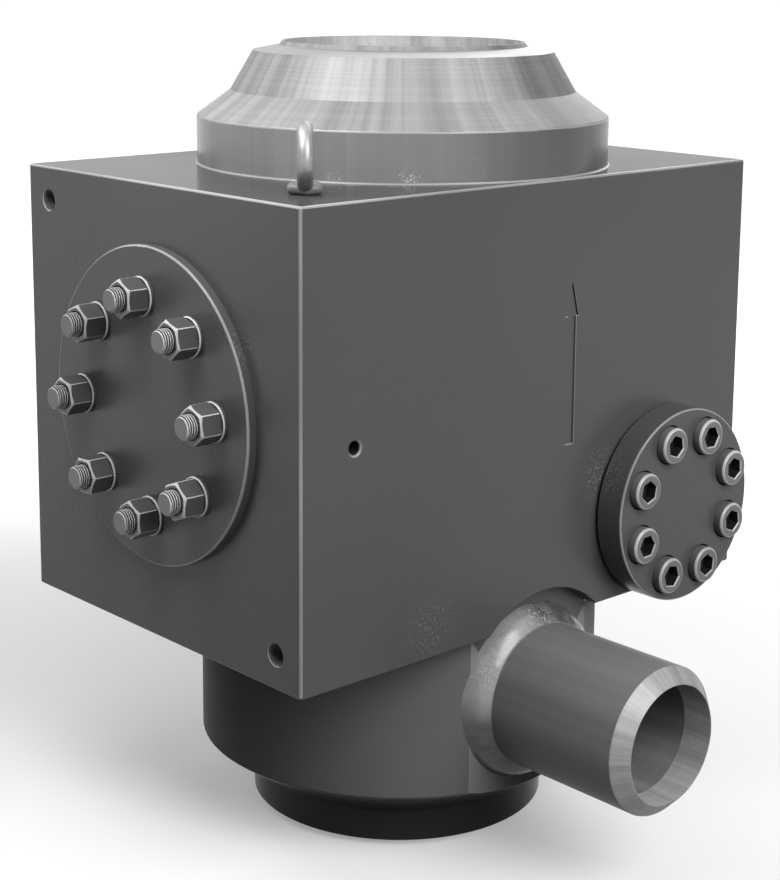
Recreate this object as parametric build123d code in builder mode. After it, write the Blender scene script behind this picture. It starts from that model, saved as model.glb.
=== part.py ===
from build123d import *
import os
from math import cos, radians, sin, tan

os.makedirs("parts", exist_ok=True)

# All sizes are in millimetres and angles in degrees.
# The flow runs up the Z axis and Z = 0 is the face of the inlet end.
# -X is the bonnet side, -Y the side with the branch and the hinge cover.

# Flow passage and inlet end
bore_dia = 225.0
mouth_dia = 234.0
mouth_depth = 22.0
mouth_runout = 8.0
lip_land = 1.6
lip_height = 4.0
lip_angle = 37.5
inlet_end_rise = 4.0
inlet_end_dia = 298.0
inlet_end_height = 30.5
inlet_cone_height = 37.5
barrel_dia = 404.0
barrel_height = 158.5
barrel_edge = 2.0

# Forged block, longer on the bonnet side
block_left = 300.0
block_right = 281.0
block_half_depth = 205.0
block_height = 422.0
block_edge = 2.5

# Outlet end: neck, two tapers and a shallow one below the bevelled lip
neck_dia = 404.0
neck_height = 46.5
neck_edge = 3.0
outlet_break_dia = 338.5
outlet_break_height = 24.0
outlet_face_dia = 294.5
outlet_taper_height = 38.0
outlet_end_rise = 5.0

# Valve chamber: a bore from the bonnet side crosses a bore above the seat
bonnet_rise = 220.5
bonnet_bore_dia = 274.0
chamber_reach = 204.0
chamber_dia = 272.0
floor_drop = 12.0

# Seat ring
seat_outer_dia = 262.0
seat_bore_dia = 222.0
seat_height = 28.0
seat_drop = 29.0
seat_edge = 1.5

# Hinge
hinge_offset = 164.0
hinge_rise = 90.5
pocket_near = 100.0
pocket_half_width = 70.0
pocket_corner = 14.0
shaft_dia = 32.0
shaft_edge = 2.0
shaft_end_play = 2.0
body_bush_outer_dia = 52.0
front_bush_flange_dia = 86.0
front_bush_flange = 10.0
rear_bore_depth = 70.0
cover_bore_dia = 88.0
cover_bore_depth = 60.0

# Swing arm and its two bushes
lug_half_span = 60.0
lug_width = 34.0
hub_dia = 60.0
arm_bush_outer_dia = 42.0
eye_dia = 84.0
eye_height = 26.0
web_width_at_eye = 56.0
web_width_at_hub = 108.0
rib_width = 14.0
rib_height = 12.0
lug_gap_reach = 45.0
lug_side_play = 1.0
heel_dia = 24.0
opening_angle = 60.0

# Disc and what holds it on the arm
disc_dia = 252.0
disc_rim_height = 16.0
disc_cone_dia = 100.0
disc_cone_height = 28.0
disc_boss_dia = 68.0
disc_boss_height = 34.0
disc_face_width = 13.0
disc_dish = 4.0
disc_edge = 2.0
stem_dia = 30.0
stem_overrun = 15.0
disc_washer_dia = 60.0
disc_washer_thickness = 4.0
disc_nut_flats = 46.0
disc_nut_height = 24.0
split_pin_dia = 6.0
split_pin_length = 52.0
split_pin_eye_dia = 13.0

# Branch welded on a milled flat low on the barrel
branch_rise = 85.0
branch_dia = 139.7
branch_wall = 15.0
branch_port_dia = 108.0
branch_flat_depth = 16.0
branch_recess_dia = 210.0
branch_length = 178.0
branch_bevel_angle = 45.0
branch_root_land = 1.6
branch_mouth_dia = 111.0
branch_mouth_depth = 27.0
branch_mouth_runout = 3.0
weld_width = 17.0
weld_length = 20.0
weld_face_radius = 30.0

# Pressure-seal bonnet
seal_section = 16.0
plug_outer_inset = 36.0
plug_inner_inset = 150.0
plug_dish_dia = 180.0
plug_dish_depth = 12.0
segment_reach = 14.5
segment_centre_inset = 60.0
segment_thickness = 28.0
segment_count = 4
segment_gap = 4.0
backing_thickness = 12.0
seal_thickness = 22.0
seal_heel = 7.0
plate_rest = 9.75
plate_thickness = 9.4
plate_edge = 2.0

# Bonnet studs, nuts and washers
stud_dia = 22.0
stud_count = 8
stud_start_angle = 87.2
stud_inset = 20.4
stud_projection = 36.0
stud_engagement = 36.0
stud_edge = 2.0
plate_hole_dia = 24.0
washer_dia = 37.0
washer_thickness = 4.0
nut_flats = 32.0
nut_height = 22.0
nut_turned_share = 0.6

# Hinge cover, its gasket and socket-head screws
cover_dia = 193.0
cover_thickness = 29.5
cover_stand_off = 4.0
cover_edge = 1.8
cover_raised_dia = 108.0
gasket_outer_dia = 110.0
gasket_thickness = 4.0
screw_dia = 24.0
screw_count = 8
screw_circle_dia = 142.0
screw_hole_dia = 26.0
screw_head_dia = 36.0
screw_head_height = 24.0
screw_head_proud = 9.3
screw_counterbore_dia = 39.0
screw_length = 60.0
screw_socket_flats = 19.0
screw_socket_depth = 12.0
screw_edge = 3.0

# Tapped holes and the drift port beside the segment ring
face_hole_across = 171.0
face_hole_up = 179.0
face_hole_dia = 17.5
face_hole_depth = 36.0
face_hole_mouth_dia = 22.0
port_dia = 12.0
port_depth = 40.0
port_mouth_dia = 16.0
drift_dia = 8.0

# Lifting eyes
eye_inset_x = 58.0
eye_inset_y = 64.0
eye_ring_dia = 63.0
eye_bar_dia = 14.5
eye_bolt_height = 62.0
eye_collar_flats = 30.0
eye_collar_height = 10.0
eye_collar_corner = 3.0
eye_collar_edge = 2.5
eye_shank_dia = 16.0
eye_shank_length = 30.0
eye_turn_angle = 51.0

# Clearances
fit_clearance = 0.2
running_clearance = 0.08
seat_clearance = 0.3
stop_clearance = 0.4
hole_overrun = 6.0
mouth_angle = 90.0
drill_angle = 118.0

# Heights along the flow axis
inlet_face = lip_height + inlet_end_rise
inlet_shoulder = inlet_face + inlet_end_height
barrel_bottom = inlet_shoulder + inlet_cone_height
block_bottom = barrel_bottom + barrel_height
block_top = block_bottom + block_height
neck_top = block_top + neck_height
outlet_break = neck_top + outlet_break_height
outlet_face = outlet_break + outlet_taper_height
overall_height = outlet_face + outlet_end_rise + lip_height
lip_dia = mouth_dia + 2 * lip_land
lip_root_dia = lip_dia + 2 * lip_height * tan(radians(lip_angle))
bonnet_height = block_bottom + bonnet_rise
hinge_height = block_bottom + hinge_rise
seat_face = hinge_height - seat_drop
seat_bottom = seat_face - seat_height
chamber_floor = seat_face - floor_drop
branch_height = barrel_bottom + branch_rise
branch_flat = barrel_dia / 2 - branch_flat_depth
branch_end = branch_flat + branch_length
block_middle = (block_bottom + block_top) / 2

# Places along the bonnet axis, which runs along X
segment_outboard = -block_left + segment_centre_inset - segment_thickness / 2
segment_inboard = segment_outboard + segment_thickness
backing_inboard = segment_inboard + backing_thickness
seal_inboard = backing_inboard + seal_thickness
plug_inner_face = -block_left + plug_inner_inset
plug_outer_face = -block_left + plug_outer_inset
plate_face = -block_left - plate_thickness
segment_outer_dia = bonnet_bore_dia + 2 * segment_reach
groove_dia = segment_outer_dia + 2 * fit_clearance
plug_head_dia = bonnet_bore_dia - 2 * fit_clearance
plug_neck_dia = bonnet_bore_dia - 2 * seal_section
ring_inner_dia = plug_neck_dia + 2 * fit_clearance
stud_circle_dia = plug_neck_dia - 2 * stud_inset
plate_dia = bonnet_bore_dia + 2 * plate_rest

# Places along the hinge axis, which runs along Y
cover_seat = -block_half_depth - cover_stand_off
cover_face = cover_seat - cover_thickness
cover_bore_bottom = -block_half_depth + cover_bore_depth
head_seat = cover_face + screw_head_height - screw_head_proud
bush_inner_end = lug_half_span + lug_side_play
rear_bore_end = pocket_half_width + rear_bore_depth
shaft_front_end = cover_bore_bottom - front_bush_flange + shaft_end_play
shaft_rear_end = rear_bore_end - shaft_end_play

# Axes and planes of the bonnet, the hinge, the branch and the disc
bonnet_axis = Axis((0, 0, bonnet_height), (1, 0, 0))
bonnet_plane = Plane(origin=(0, 0, bonnet_height), x_dir=(1, 0, 0), z_dir=(0, -1, 0))
bonnet_section = Plane(origin=(0, 0, bonnet_height), x_dir=(0, 1, 0), z_dir=(1, 0, 0))
hinge_plane = Plane(origin=(hinge_offset, 0, hinge_height), x_dir=(1, 0, 0), z_dir=(0, -1, 0))
branch_axis = Axis((0, 0, branch_height), (0, 1, 0))
branch_plane = Plane(origin=(0, 0, branch_height), x_dir=(1, 0, 0), z_dir=(0, -1, 0))
branch_section = Plane(origin=(0, 0, branch_height), x_dir=(0, 1, 0), z_dir=(1, 0, 0))
# on the front face, level with the segment ring
port_plane = Plane(
    origin=(-block_left + segment_centre_inset, -block_half_depth, block_middle),
    x_dir=(1, 0, 0),
    z_dir=(0, -1, 0),
)


def hexagon_nut(across_flats, height, hole_dia):
    """One hexagon nut standing on the XY plane, with its corners turned off at both ends."""
    corner = across_flats / cos(radians(30)) / 2
    turned = (corner - across_flats / 2) * nut_turned_share
    with BuildPart() as nut:
        with BuildSketch():
            RegularPolygon(across_flats / 2, 6, major_radius=False)
            Circle(hole_dia / 2, mode=Mode.SUBTRACT)
        extrude(amount=height)
        with BuildSketch(Plane.XZ):
            with BuildLine():
                Polyline(
                    (0, 0),
                    (across_flats / 2, 0),
                    (corner, turned),
                    (corner, height - turned),
                    (across_flats / 2, height),
                    (0, height),
                    close=True,
                )
            make_face()
        revolve(axis=Axis.Z, mode=Mode.INTERSECT)
    return nut.part


# Body: forged block with turned ends, bored for the seat, the disc, the bonnet and the hinge
with BuildPart() as valve_body:
    with BuildSketch(Plane.XY.offset(block_bottom)):
        with Locations(((block_right - block_left) / 2, 0)):
            Rectangle(block_left + block_right, 2 * block_half_depth)
    extrude(amount=block_height)
    fillet(valve_body.edges(), block_edge)
    with BuildSketch(Plane.XZ) as turned_outline:
        with BuildLine():
            Polyline(
                (0, 0),
                (lip_dia / 2, 0),
                (lip_root_dia / 2, lip_height),
                (inlet_end_dia / 2, inlet_face),
                (inlet_end_dia / 2, inlet_shoulder),
                (barrel_dia / 2, barrel_bottom),
                (barrel_dia / 2, block_bottom + 2 * block_edge),
                (neck_dia / 2, block_top - 2 * block_edge),
                (neck_dia / 2, neck_top),
                (outlet_break_dia / 2, outlet_break),
                (outlet_face_dia / 2, outlet_face),
                (lip_root_dia / 2, overall_height - lip_height),
                (lip_dia / 2, overall_height),
                (0, overall_height),
                close=True,
            )
        make_face()
        corners = turned_outline.vertices().group_by(Axis.X)[-1].sort_by(Axis.Y)
        fillet(corners[0], barrel_edge)
        corners = turned_outline.vertices().group_by(Axis.X)[-1].sort_by(Axis.Y)
        fillet(corners[-1], neck_edge)
    revolve(axis=Axis.Z)
    # milled flat for the branch, arched where it runs into the block
    with BuildSketch(branch_plane.offset(branch_flat)):
        Circle(branch_recess_dia / 2)
        Rectangle(branch_recess_dia, branch_height, align=(Align.CENTER, Align.MAX))
    extrude(amount=block_half_depth, mode=Mode.SUBTRACT)
    # flow bore
    with BuildSketch():
        Circle(bore_dia / 2)
    extrude(amount=overall_height, mode=Mode.SUBTRACT)
    # both mouths opened to the bore of the line pipe
    with BuildSketch(Plane.XZ):
        for face, inward in ((0, 1), (overall_height, -1)):
            with BuildLine():
                Polyline(
                    (0, face),
                    (mouth_dia / 2, face),
                    (mouth_dia / 2, face + inward * mouth_depth),
                    (bore_dia / 2, face + inward * (mouth_depth + mouth_runout)),
                    (0, face + inward * (mouth_depth + mouth_runout)),
                    close=True,
                )
            make_face()
    revolve(axis=Axis.Z, mode=Mode.SUBTRACT)
    # seat counterbore and the chamber above it
    with BuildSketch(Plane.XY.offset(seat_bottom)):
        Circle(seat_outer_dia / 2 + fit_clearance)
    extrude(amount=seat_height, mode=Mode.SUBTRACT)
    with BuildSketch(Plane.XY.offset(chamber_floor)):
        Circle(chamber_dia / 2)
    extrude(amount=bonnet_height - chamber_floor, mode=Mode.SUBTRACT)
    # bonnet bore and the groove of the segment ring
    with BuildSketch(bonnet_section.offset(-block_left)):
        Circle(bonnet_bore_dia / 2)
    extrude(amount=block_left + chamber_reach, mode=Mode.SUBTRACT)
    with BuildSketch(bonnet_section.offset(segment_outboard)):
        Circle(groove_dia / 2)
    extrude(amount=segment_thickness + fit_clearance, mode=Mode.SUBTRACT)
    # pocket that the arm swings in
    with BuildSketch(Plane.XY.offset(chamber_floor)):
        with Locations(((pocket_near + chamber_reach) / 2, 0)):
            RectangleRounded(chamber_reach - pocket_near, 2 * pocket_half_width, pocket_corner)
    extrude(amount=bonnet_height - chamber_floor, mode=Mode.SUBTRACT)
    # shaft bores: open at the front, blind at the back
    with BuildSketch(hinge_plane.offset(block_half_depth)):
        Circle(cover_bore_dia / 2)
    extrude(amount=-cover_bore_depth, mode=Mode.SUBTRACT)
    with BuildSketch(hinge_plane.offset(block_half_depth)):
        Circle(gasket_outer_dia / 2 + fit_clearance)
    extrude(amount=-gasket_thickness, mode=Mode.SUBTRACT)
    with BuildSketch(hinge_plane.offset(block_half_depth)):
        Circle(body_bush_outer_dia / 2 + fit_clearance)
    extrude(amount=-(block_half_depth + rear_bore_end), mode=Mode.SUBTRACT)
    with BuildSketch(hinge_plane.offset(block_half_depth)):
        with PolarLocations(screw_circle_dia / 2, screw_count, start_angle=180 / screw_count):
            Circle(screw_dia / 2 + fit_clearance)
    extrude(amount=-(screw_length + head_seat + block_half_depth + hole_overrun), mode=Mode.SUBTRACT)
    # branch bore into the passage below the seat
    with BuildSketch(branch_plane):
        Circle(branch_port_dia / 2)
    extrude(amount=branch_flat, mode=Mode.SUBTRACT)
    # tapped holes on one diagonal of the bonnet face
    with Locations(Plane(origin=(-block_left, 0, block_middle), x_dir=(0, -1, 0), z_dir=(-1, 0, 0))):
        with Locations((-face_hole_across, face_hole_up), (face_hole_across, -face_hole_up)):
            CounterSinkHole(
                face_hole_dia / 2, face_hole_mouth_dia / 2, face_hole_depth, mouth_angle
            )
            with Locations((0, 0, -face_hole_depth)):
                Cone(
                    face_hole_dia / 2,
                    0,
                    face_hole_dia / 2 / tan(radians(drill_angle / 2)),
                    rotation=(180, 0, 0),
                    align=(Align.CENTER, Align.CENTER, Align.MIN),
                    mode=Mode.SUBTRACT,
                )
    # port for the drift that drives the segments in, tapped at its mouth for a stopper
    with Locations(port_plane):
        CounterSinkHole(port_dia / 2, port_mouth_dia / 2, port_depth, mouth_angle)
    with Locations(port_plane.offset(-port_depth)):
        CounterSinkHole(
            drift_dia / 2,
            port_dia / 2,
            block_half_depth - bonnet_bore_dia / 2 - port_depth,
            drill_angle,
        )
    # tapped holes of the lifting eyes
    with BuildSketch(Plane.XY.offset(block_top)):
        with Locations(
            (-block_left + eye_inset_x, -block_half_depth + eye_inset_y),
            (block_right - eye_inset_x, block_half_depth - eye_inset_y),
        ):
            Circle(eye_shank_dia / 2 + fit_clearance)
    extrude(amount=-(eye_shank_length + hole_overrun), mode=Mode.SUBTRACT)

# Seat ring let into the counterbore, with a raised seating face
with BuildPart() as seat_ring:
    with BuildSketch(Plane.XZ):
        with BuildLine():
            Polyline(
                (seat_bore_dia / 2, seat_bottom),
                (seat_outer_dia / 2, seat_bottom),
                (seat_outer_dia / 2, seat_face - seat_edge),
                (seat_outer_dia / 2 - seat_edge, seat_face),
                (seat_bore_dia / 2 + seat_edge, seat_face),
                (seat_bore_dia / 2, seat_face - seat_edge),
                close=True,
            )
        make_face()
    revolve(axis=Axis.Z)

# Disc with its seating ring below and the threaded stem above
disc_bottom = seat_face + seat_clearance
boss_top = disc_bottom + disc_boss_height
eye_bottom = boss_top + seat_clearance
eye_top = eye_bottom + eye_height
disc_washer_bottom = eye_top + seat_clearance
disc_nut_bottom = disc_washer_bottom + disc_washer_thickness
disc_nut_top = disc_nut_bottom + disc_nut_height
stem_top = disc_nut_top + stem_overrun
split_pin_height = disc_nut_top + stem_overrun / 2

with BuildPart() as valve_disc:
    with BuildSketch(Plane.XZ):
        with BuildLine():
            Polyline(
                (0, disc_bottom + disc_dish),
                (disc_dia / 2 - disc_face_width - disc_dish, disc_bottom + disc_dish),
                (disc_dia / 2 - disc_face_width, disc_bottom),
                (disc_dia / 2, disc_bottom),
                (disc_dia / 2, disc_bottom + disc_rim_height - disc_edge),
                (disc_dia / 2 - disc_edge, disc_bottom + disc_rim_height),
                (disc_cone_dia / 2, disc_bottom + disc_cone_height),
                (disc_boss_dia / 2, boss_top),
                (stem_dia / 2, boss_top),
                (stem_dia / 2, stem_top - disc_edge),
                (stem_dia / 2 - disc_edge, stem_top),
                (0, stem_top),
                close=True,
            )
        make_face()
    revolve(axis=Axis.Z)
    with BuildSketch(Plane.XZ.offset(stem_dia)):
        with Locations((0, split_pin_height)):
            Circle(split_pin_dia / 2 + fit_clearance)
    extrude(amount=-2 * stem_dia, mode=Mode.SUBTRACT)

with BuildPart() as disc_washer:
    with BuildSketch(Plane.XY.offset(disc_washer_bottom)):
        Circle(disc_washer_dia / 2)
        Circle(stem_dia / 2 + fit_clearance, mode=Mode.SUBTRACT)
    extrude(amount=disc_washer_thickness)

with BuildPart(Plane.XY.offset(disc_nut_bottom)) as disc_nut:
    add(hexagon_nut(disc_nut_flats, disc_nut_height, stem_dia + 2 * fit_clearance))

# Split pin through the stem, with its eye at the front and the legs bent at the back
with BuildPart() as disc_split_pin:
    with BuildSketch(Plane.XZ.offset(split_pin_length / 2)):
        with Locations((0, split_pin_height)):
            Circle(split_pin_dia / 2)
    extrude(amount=-split_pin_length)
    with Locations((0, -split_pin_length / 2 - split_pin_eye_dia / 2, split_pin_height)):
        Torus(split_pin_eye_dia / 2, split_pin_dia / 2, rotation=(0, 90, 0))

# Swing arm: eye round the stem, ribbed web, two lugs on the shaft and the stop heel between them
heel_reach = (chamber_reach - stop_clearance - hinge_offset - heel_dia / 2) / sin(radians(opening_angle))
lug_inner = lug_half_span - lug_width

with BuildPart() as swing_arm:
    with BuildSketch(Plane.XY.offset(eye_bottom)):
        Circle(eye_dia / 2)
    extrude(amount=eye_height)
    with BuildSketch(Plane.XY.offset(eye_bottom)):
        with BuildLine():
            Polyline(
                (0, -web_width_at_eye / 2),
                (hinge_offset, -web_width_at_hub / 2),
                (hinge_offset, web_width_at_hub / 2),
                (0, web_width_at_eye / 2),
                close=True,
            )
        make_face()
    extrude(amount=eye_height - rib_height)
    with BuildSketch(Plane.XY.offset(eye_bottom)):
        for side in (-1, 1):
            with BuildLine():
                Polyline(
                    (0, side * web_width_at_eye / 2),
                    (hinge_offset, side * web_width_at_hub / 2),
                    (hinge_offset, side * (web_width_at_hub / 2 - rib_width)),
                    (0, side * (web_width_at_eye / 2 - rib_width)),
                    close=True,
                )
            make_face()
    extrude(amount=eye_height)
    with BuildSketch(hinge_plane.offset(lug_half_span)):
        Circle(hub_dia / 2)
    extrude(amount=-2 * lug_half_span)
    with BuildSketch(hinge_plane.offset(lug_inner)):
        with BuildLine():
            Polyline(
                (-hub_dia, hub_dia),
                (-lug_gap_reach, -hub_dia),
                (hub_dia, -hub_dia),
                (hub_dia, hub_dia),
                close=True,
            )
        make_face()
    extrude(amount=-2 * lug_inner, mode=Mode.SUBTRACT)
    for lug_front in (lug_half_span, -lug_inner):
        with BuildSketch(hinge_plane.offset(lug_front)):
            with Locations((0, heel_reach)):
                Circle(heel_dia / 2)
            Rectangle(heel_dia, heel_reach, align=(Align.CENTER, Align.MIN))
        extrude(amount=-lug_width)
    with BuildSketch(Plane.XY.offset(eye_bottom)):
        Circle(stem_dia / 2 + running_clearance)
    extrude(amount=eye_height, mode=Mode.SUBTRACT)
    with BuildSketch(hinge_plane.offset(lug_half_span)):
        Circle(arm_bush_outer_dia / 2 + fit_clearance)
    extrude(amount=-2 * lug_half_span, mode=Mode.SUBTRACT)

arm_bushes = {}
for name, start in (("arm_bush_front", -lug_half_span), ("arm_bush_rear", lug_inner)):
    with BuildPart() as bush:
        with BuildSketch(hinge_plane.offset(-start)):
            Circle(arm_bush_outer_dia / 2)
            Circle(shaft_dia / 2 + running_clearance, mode=Mode.SUBTRACT)
        extrude(amount=-lug_width)
    arm_bushes[name] = bush

# Hinge shaft and the bushes that hold it in the body
with BuildPart() as hinge_shaft:
    with BuildSketch(hinge_plane.offset(-shaft_front_end)):
        Circle(shaft_dia / 2)
    extrude(amount=shaft_front_end - shaft_rear_end)
    chamfer(hinge_shaft.edges().filter_by(GeomType.CIRCLE), shaft_edge)

with BuildPart() as front_shaft_bush:
    with BuildSketch(hinge_plane.offset(-cover_bore_bottom + front_bush_flange)):
        Circle(front_bush_flange_dia / 2)
    extrude(amount=-front_bush_flange)
    with BuildSketch(hinge_plane.offset(-cover_bore_bottom)):
        Circle(body_bush_outer_dia / 2)
    extrude(amount=cover_bore_bottom + bush_inner_end)
    with BuildSketch(hinge_plane.offset(bush_inner_end)):
        Circle(shaft_dia / 2 + fit_clearance)
    extrude(amount=-cover_bore_bottom, mode=Mode.SUBTRACT)

with BuildPart() as rear_shaft_bush:
    with BuildSketch(hinge_plane.offset(-rear_bore_end)):
        Circle(body_bush_outer_dia / 2)
        Circle(shaft_dia / 2 + fit_clearance, mode=Mode.SUBTRACT)
    extrude(amount=rear_bore_end - bush_inner_end)

# Hinge cover standing off the block on its raised face, with a spigot that holds the front bush
with BuildPart() as hinge_cover:
    with BuildSketch(hinge_plane.offset(-cover_seat)):
        Circle(cover_dia / 2)
    extrude(amount=cover_thickness)
    fillet(hinge_cover.edges().filter_by(GeomType.CIRCLE), cover_edge)
    with BuildSketch(hinge_plane.offset(-cover_seat)):
        Circle(cover_raised_dia / 2)
    extrude(amount=-cover_stand_off)
    with BuildSketch(hinge_plane.offset(block_half_depth)):
        Circle(cover_bore_dia / 2 - fit_clearance)
    extrude(amount=-(cover_bore_depth - front_bush_flange))
    with BuildSketch(hinge_plane.offset(-cover_face)):
        with PolarLocations(screw_circle_dia / 2, screw_count, start_angle=180 / screw_count):
            Circle(screw_hole_dia / 2)
    extrude(amount=-cover_thickness, mode=Mode.SUBTRACT)
    with BuildSketch(hinge_plane.offset(-cover_face)):
        with PolarLocations(screw_circle_dia / 2, screw_count, start_angle=180 / screw_count):
            Circle(screw_counterbore_dia / 2)
    extrude(amount=cover_face - head_seat, mode=Mode.SUBTRACT)

with BuildPart() as hinge_cover_gasket:
    with BuildSketch(hinge_plane.offset(block_half_depth)):
        Circle(gasket_outer_dia / 2)
        Circle(cover_bore_dia / 2 + fit_clearance, mode=Mode.SUBTRACT)
    extrude(amount=-gasket_thickness)

with BuildPart() as hinge_cover_screws:
    with BuildSketch(hinge_plane.offset(-head_seat)):
        with PolarLocations(screw_circle_dia / 2, screw_count, start_angle=180 / screw_count):
            Circle(screw_head_dia / 2)
    extrude(amount=screw_head_height)
    fillet(hinge_cover_screws.edges().group_by(Axis.Y)[0], screw_edge)
    with BuildSketch(hinge_plane.offset(-head_seat)):
        with PolarLocations(screw_circle_dia / 2, screw_count, start_angle=180 / screw_count):
            Circle(screw_dia / 2)
    extrude(amount=-screw_length)
    with BuildSketch(hinge_plane.offset(-head_seat + screw_head_height)):
        with PolarLocations(screw_circle_dia / 2, screw_count, start_angle=180 / screw_count):
            RegularPolygon(screw_socket_flats / 2, 6, major_radius=False)
    extrude(amount=-screw_socket_depth, mode=Mode.SUBTRACT)

# Branch pipe with its bevelled and bored weld end, and the weld at its root
bevel_depth = (branch_wall - branch_root_land) / sin(radians(branch_bevel_angle))
bevel_length = bevel_depth * cos(radians(branch_bevel_angle))

with BuildPart() as branch_pipe:
    with BuildSketch(branch_section):
        with BuildLine():
            Polyline(
                (-branch_flat, branch_dia / 2 - branch_wall),
                (-branch_flat, branch_dia / 2),
                (-branch_end + bevel_length, branch_dia / 2),
                (-branch_end, branch_dia / 2 - branch_wall + branch_root_land),
                (-branch_end, branch_mouth_dia / 2),
                (-branch_end + branch_mouth_depth, branch_mouth_dia / 2),
                (-branch_end + branch_mouth_depth + branch_mouth_runout, branch_dia / 2 - branch_wall),
                close=True,
            )
        make_face()
    revolve(axis=branch_axis)

weld_foot = (-branch_flat, branch_dia / 2 + weld_width)
weld_toe = (-branch_flat - weld_length, branch_dia / 2 + fit_clearance)

with BuildPart() as branch_weld:
    with BuildSketch(branch_section):
        with BuildLine():
            Polyline(
                weld_toe,
                (-branch_flat + weld_width, branch_dia / 2 + fit_clearance),
                (-branch_flat + weld_width, branch_dia / 2 + weld_width),
                weld_foot,
            )
            RadiusArc(weld_foot, weld_toe, weld_face_radius)
        make_face()
    revolve(axis=branch_axis)
    # the root follows the flat and the round of the barrel beside it
    with BuildSketch():
        Circle(barrel_dia / 2)
        with Locations((0, -branch_flat)):
            Rectangle(barrel_dia, barrel_dia, align=(Align.CENTER, Align.MAX), mode=Mode.SUBTRACT)
    extrude(amount=block_top, mode=Mode.SUBTRACT)

# Bonnet plug: a stepped cover with the seal cone behind its head
seal_cone_start = backing_inboard + seal_heel

with BuildPart() as bonnet_plug:
    with BuildSketch(bonnet_plane):
        with BuildLine():
            Polyline(
                (plug_inner_face, 0),
                (plug_inner_face, plug_head_dia / 2),
                (seal_inboard, plug_head_dia / 2),
                (seal_cone_start, plug_neck_dia / 2),
                (plug_outer_face, plug_neck_dia / 2),
                (plug_outer_face, 0),
                close=True,
            )
        make_face()
    revolve(axis=bonnet_axis)
    with BuildSketch(bonnet_section.offset(plug_inner_face)):
        Circle(plug_dish_dia / 2)
    extrude(amount=-plug_dish_depth, mode=Mode.SUBTRACT)
    with BuildSketch(bonnet_section.offset(plug_outer_face)):
        with PolarLocations(stud_circle_dia / 2, stud_count, start_angle=stud_start_angle):
            Circle(stud_dia / 2 + fit_clearance)
    extrude(amount=stud_engagement, mode=Mode.SUBTRACT)

with BuildPart() as bonnet_seal_ring:
    with BuildSketch(bonnet_plane):
        with BuildLine():
            Polyline(
                (backing_inboard, ring_inner_dia / 2),
                (backing_inboard, plug_head_dia / 2),
                (seal_inboard - fit_clearance, plug_head_dia / 2),
                (seal_cone_start - fit_clearance, ring_inner_dia / 2),
                close=True,
            )
        make_face()
    revolve(axis=bonnet_axis)

with BuildPart() as bonnet_backing_ring:
    with BuildSketch(bonnet_section.offset(segment_inboard)):
        Circle(plug_head_dia / 2)
        Circle(ring_inner_dia / 2, mode=Mode.SUBTRACT)
    extrude(amount=backing_thickness)

# Segment ring in loose segments, so that it can be put into its groove
with BuildPart() as bonnet_segment_ring:
    with BuildSketch(bonnet_section.offset(segment_outboard)):
        Circle(segment_outer_dia / 2)
        Circle(ring_inner_dia / 2, mode=Mode.SUBTRACT)
        with PolarLocations(0, segment_count, start_angle=180 / segment_count):
            Rectangle(
                segment_outer_dia,
                segment_gap,
                align=(Align.MIN, Align.CENTER),
                mode=Mode.SUBTRACT,
            )
    extrude(amount=segment_thickness)

# Retainer plate on the block's face, with the studs, washers and nuts that draw the plug out
with BuildPart() as bonnet_retainer_plate:
    with BuildSketch(bonnet_section.offset(plate_face)):
        Circle(plate_dia / 2)
    extrude(amount=plate_thickness)
    fillet(bonnet_retainer_plate.edges().group_by(Axis.X)[0], plate_edge)
    with BuildSketch(bonnet_section.offset(plate_face)):
        with PolarLocations(stud_circle_dia / 2, stud_count, start_angle=stud_start_angle):
            Circle(plate_hole_dia / 2)
    extrude(amount=plate_thickness, mode=Mode.SUBTRACT)

stud_tip = plate_face - stud_projection
stud_root = plug_outer_face + stud_engagement

with BuildPart() as bonnet_studs:
    with BuildSketch(bonnet_section.offset(stud_tip)):
        with PolarLocations(stud_circle_dia / 2, stud_count, start_angle=stud_start_angle):
            Circle(stud_dia / 2)
    extrude(amount=stud_root - stud_tip)
    chamfer(bonnet_studs.edges().filter_by(GeomType.CIRCLE), stud_edge)

with BuildPart() as bonnet_washers:
    with BuildSketch(bonnet_section.offset(plate_face - washer_thickness)):
        with PolarLocations(stud_circle_dia / 2, stud_count, start_angle=stud_start_angle):
            Circle(washer_dia / 2)
            Circle(stud_dia / 2 + fit_clearance, mode=Mode.SUBTRACT)
    extrude(amount=washer_thickness)

nut_seat = plate_face - washer_thickness - nut_height
with BuildPart(bonnet_section.offset(nut_seat)) as bonnet_nuts:
    with PolarLocations(stud_circle_dia / 2, stud_count, start_angle=stud_start_angle):
        add(hexagon_nut(nut_flats, nut_height, stud_dia + 2 * fit_clearance))


def lifting_eye(x, y, turn):
    """One forged eye bolt standing on the block, with a six-sided collar below the ring."""
    ring_centre = block_top + eye_bolt_height - eye_ring_dia / 2
    with BuildPart() as eye:
        with BuildSketch(Plane.XY.offset(block_top)):
            with Locations((x, y)):
                RegularPolygon(eye_collar_flats / 2, 6, major_radius=False, rotation=turn)
        extrude(amount=eye_collar_height)
        fillet(eye.edges().filter_by(Axis.Z), eye_collar_corner)
        fillet(eye.edges().group_by(Axis.Z)[-1], eye_collar_edge)
        with Locations(Location((x, y, ring_centre), (0, 0, turn))):
            Torus((eye_ring_dia - eye_bar_dia) / 2, eye_bar_dia / 2, rotation=(90, 0, 0))
        with BuildSketch(Plane.XY.offset(block_top)):
            with Locations((x, y)):
                Rectangle(eye_ring_dia, eye_ring_dia)
        extrude(amount=-eye_bar_dia, mode=Mode.SUBTRACT)
        with BuildSketch(Plane.XY.offset(block_top)):
            with Locations((x, y)):
                Circle(eye_shank_dia / 2)
        extrude(amount=-eye_shank_length)
    return eye


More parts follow.
